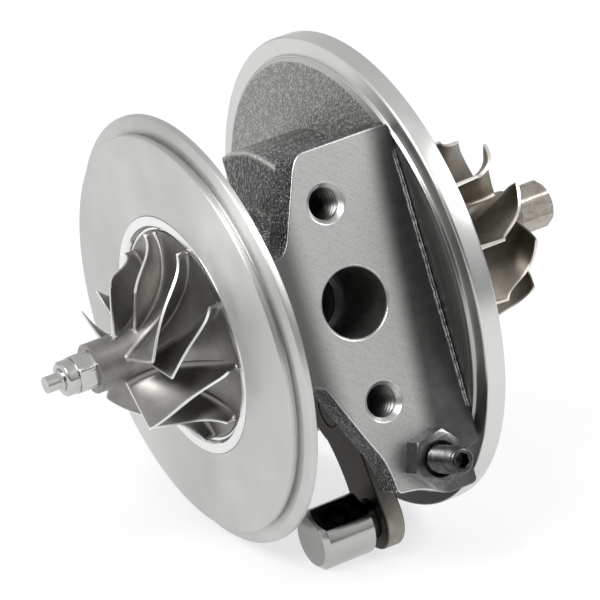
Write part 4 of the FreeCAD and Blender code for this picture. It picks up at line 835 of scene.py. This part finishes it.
def sixSided(settings):
    # a hexagon along X, r = width / 2 / cos(fold), no further out than the radius given at each place
    angle = fullTurn(96)
    place, radius = (np.array(settings[key])[None, :] for key in ("places", "radii"))
    width = settings["width"]
    side = width / 2 / np.cos(hexFold(angle - math.radians(settings["turn"])))
    r = np.minimum(side, np.minimum(radius, width / math.sqrt(3) - settings["rounding"]))
    return np.stack([place + 0 * angle, r * np.cos(angle), r * np.sin(angle)], axis=-1)


boss = {"places": [81.5, 90.2, 91.2, 91.7, 91.8, 91.8], "radii": [5.6, 5.6, 5.3, 4.6, 3.9, 0.0],
        "width": 9.6, "rounding": 0.25, "turn": 0.0}
meshPiece("turbineBoss", "rotor", [sixSided(boss)], bossNickel, 30)
print("turbine wheel made")


# Shaft nut: a hexagon and a round collar

shaftNut = {"places": [-22.3, -22.3, -22.5, -26.0, -26.3, -26.3], "radii": [3.9, 4.3, 4.6, 4.6, 4.2, 3.8],
            "width": 8, "rounding": 0.05, "turn": 20, "collar": 3.85, "bore": 2.4, "end": -29.2}
nutPiece = meshPiece("shaftNutHex", "rotor", [sixSided(shaftNut)], groundSteel, 30)
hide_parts("compressor_nut")
turnedPiece("shaftNutCollar", "rotor", [
    (-25.9, shaftNut["bore"]), (-25.9, shaftNut["collar"]), (-28.7, shaftNut["collar"]),
    (shaftNut["end"], 3.3), (shaftNut["end"], shaftNut["bore"])], groundSteel, 0.15, 96)
print("shaft nut made")


# Carried-over CAD nodes

nodeMaterials = {
    "insert_o_ring": sealRubber, "oil_deflector": sheetSteel, "heat_shield": sheetSteel,
    "thrust_bearing": bronze, "front_journal_bearing": bronze, "rear_journal_bearing": bronze,
    "bearing_snap_rings": springSteel, "compressor_piston_ring": springSteel,
    "turbine_piston_ring": springSteel,
    "locating_dowel": groundSteel, "lever_bush": groundSteel, "rotor_shaft": groundSteel,
    "thrust_collar": groundSteel, "oil_flinger": groundSteel,
    "lever_shaft": leverSteel, "vane_crank": leverSteel,
}
for node, material in nodeMaterials.items():
    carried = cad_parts[node]
    carried.data.materials.clear()
    carried.data.materials.append(material)
print("nodes painted")


# Stage: floor, light and camera

# the floor lies across the down direction, drop away from the origin, and shows a share of plain white
stage = {"down": (-0.1404, 0.3224, -0.9361), "drop": 46.6, "half": 6000, "colour": "f4f4f4", "rough": 0.9,
         "white": 0.72}
down = np.array(stage["down"]) / np.linalg.norm(stage["down"])
side = np.cross(down, (1, 0, 0))
side /= np.linalg.norm(side)
ahead = np.cross(side, down)
steps = np.linspace(-stage["half"], stage["half"], 3)
floorGrid = down * stage["drop"] + steps[:, None, None] * side + steps[None, :, None] * ahead
floorMaterial, tree, shader, coords = startMaterial("paperFloor", stage["colour"], 0.0, stage["rough"])
path = addNode(tree, "ShaderNodeLightPath").outputs
seen = addNode(tree, "ShaderNodeMath", {"operation": "ADD", "use_clamp": True}, {
    0: maths(tree, "ADD", path["Is Camera Ray"], path["Is Glossy Ray"]), 1: path["Is Transmission Ray"]})
share = maths(tree, "MULTIPLY", seen.outputs[0], stage["white"])
glow = addNode(tree, "ShaderNodeEmission", inputs={"Color": (1, 1, 1, 1), "Strength": 1.0})
front = addNode(tree, "ShaderNodeMixShader", inputs={0: share, 1: shader.outputs[0], 2: glow.outputs[0]})
# the floor leans with the photo's table, so a camera behind the part is below it and looks through its back
clear = addNode(tree, "ShaderNodeBsdfTransparent")
behind = addNode(tree, "ShaderNodeNewGeometry").outputs["Backfacing"]
sheet = addNode(tree, "ShaderNodeMixShader", inputs={0: behind, 1: front.outputs[0], 2: clear.outputs[0]})
feed(tree, tree.nodes["Material Output"], {"Surface": sheet.outputs[0]})
floor = meshPiece("paperFloor", None, [floorGrid], floorMaterial, closed=(False, False), merge=False)

world = bpy.data.worlds.new("lightTent")
bpy.context.scene.world = world
world.use_nodes = True
tree = world.node_tree
direction = addNode(tree, "ShaderNodeTexCoord").outputs["Generated"]
# soft boxes and dark gaps of the tent: each lobe shines round one direction, from the first cosine to the
# second
tentLobes = [
    {"towards": (0.31, 0.0, 0.95), "from": 0.1, "to": 0.75, "glow": 0.62},
    {"towards": (0.50, -0.84, 0.15), "from": 0.84, "to": 0.96, "glow": 0.68},
    {"towards": (-0.93, 0.16, 0.31), "from": 0.70, "to": 0.93, "glow": 0.75},
    {"towards": (-0.25, 0.95, -0.18), "from": 0.35, "to": 0.85, "glow": 0.45},
]
# the tent's dimmest glow, to which each lobe adds its own
tent = 0.07
for lobe in tentLobes:
    near = vectorMaths(tree, "DOT_PRODUCT", direction, lobe["towards"])
    spot = addNode(tree, "ShaderNodeMapRange", {"interpolation_type": "SMOOTHSTEP"}, {
        "Value": near, "From Min": lobe["from"], "From Max": lobe["to"]}).outputs[0]
    tent = maths(tree, "MULTIPLY_ADD", spot, lobe["glow"], tent)
feed(tree, tree.nodes["Background"], {"Color": tent, "Strength": 1.0})

lampAim = (25.0, 0.0, 0.0)
lamps = {
    "windowLamp": {"place": (-500, -500, 700), "size": 500, "power": 9},
    "sideLamp": {"place": (700, -500, 350), "size": 400, "power": 5},
}
for name, values in lamps.items():
    light = bpy.data.lights.new(name, "AREA")
    light.size = values["size"] * millimetre
    light.energy = values["power"]
    lamp = bpy.data.objects.new(name, light)
    bpy.context.scene.collection.objects.link(lamp)
    place = np.array(values["place"], float)
    aim = np.array(lampAim) - place
    aim /= np.linalg.norm(aim)
    flat = np.cross(aim, (0, 0, 1))
    flat /= np.linalg.norm(flat)
    axes = np.column_stack([flat, np.cross(flat, aim), -aim])
    lamp.matrix_world = Matrix.Translation((place * millimetre).tolist()) @ Matrix(axes.tolist()).to_4x4()

# the photo's camera, fitted to the photo; lens, sensor and clip end are in Blender's units
view = {
    "place": (-365.60, -842.48, 133.57), "lens": 264.05, "sensor": 36, "clipEnd": 50,
    "right": (0.8514, -0.4435, -0.2801), "up": (0.3149, 0.0050, 0.9491), "back": (-0.4195, -0.8963, 0.1439),
}
cameraData = bpy.data.cameras.new("photoCamera")
cameraData.lens = view["lens"]
cameraData.sensor_width = view["sensor"]
cameraData.clip_end = view["clipEnd"]
camera = bpy.data.objects.new("photoCamera", cameraData)
bpy.context.scene.collection.objects.link(camera)
turn = Matrix(np.column_stack([view["right"], view["up"], view["back"]]).tolist()).to_4x4()
camera.matrix_world = Matrix.Translation(inMetres(view["place"])) @ turn
bpy.context.scene.camera = camera
bpy.context.scene.view_settings.view_transform = "Standard"
print("stage made")
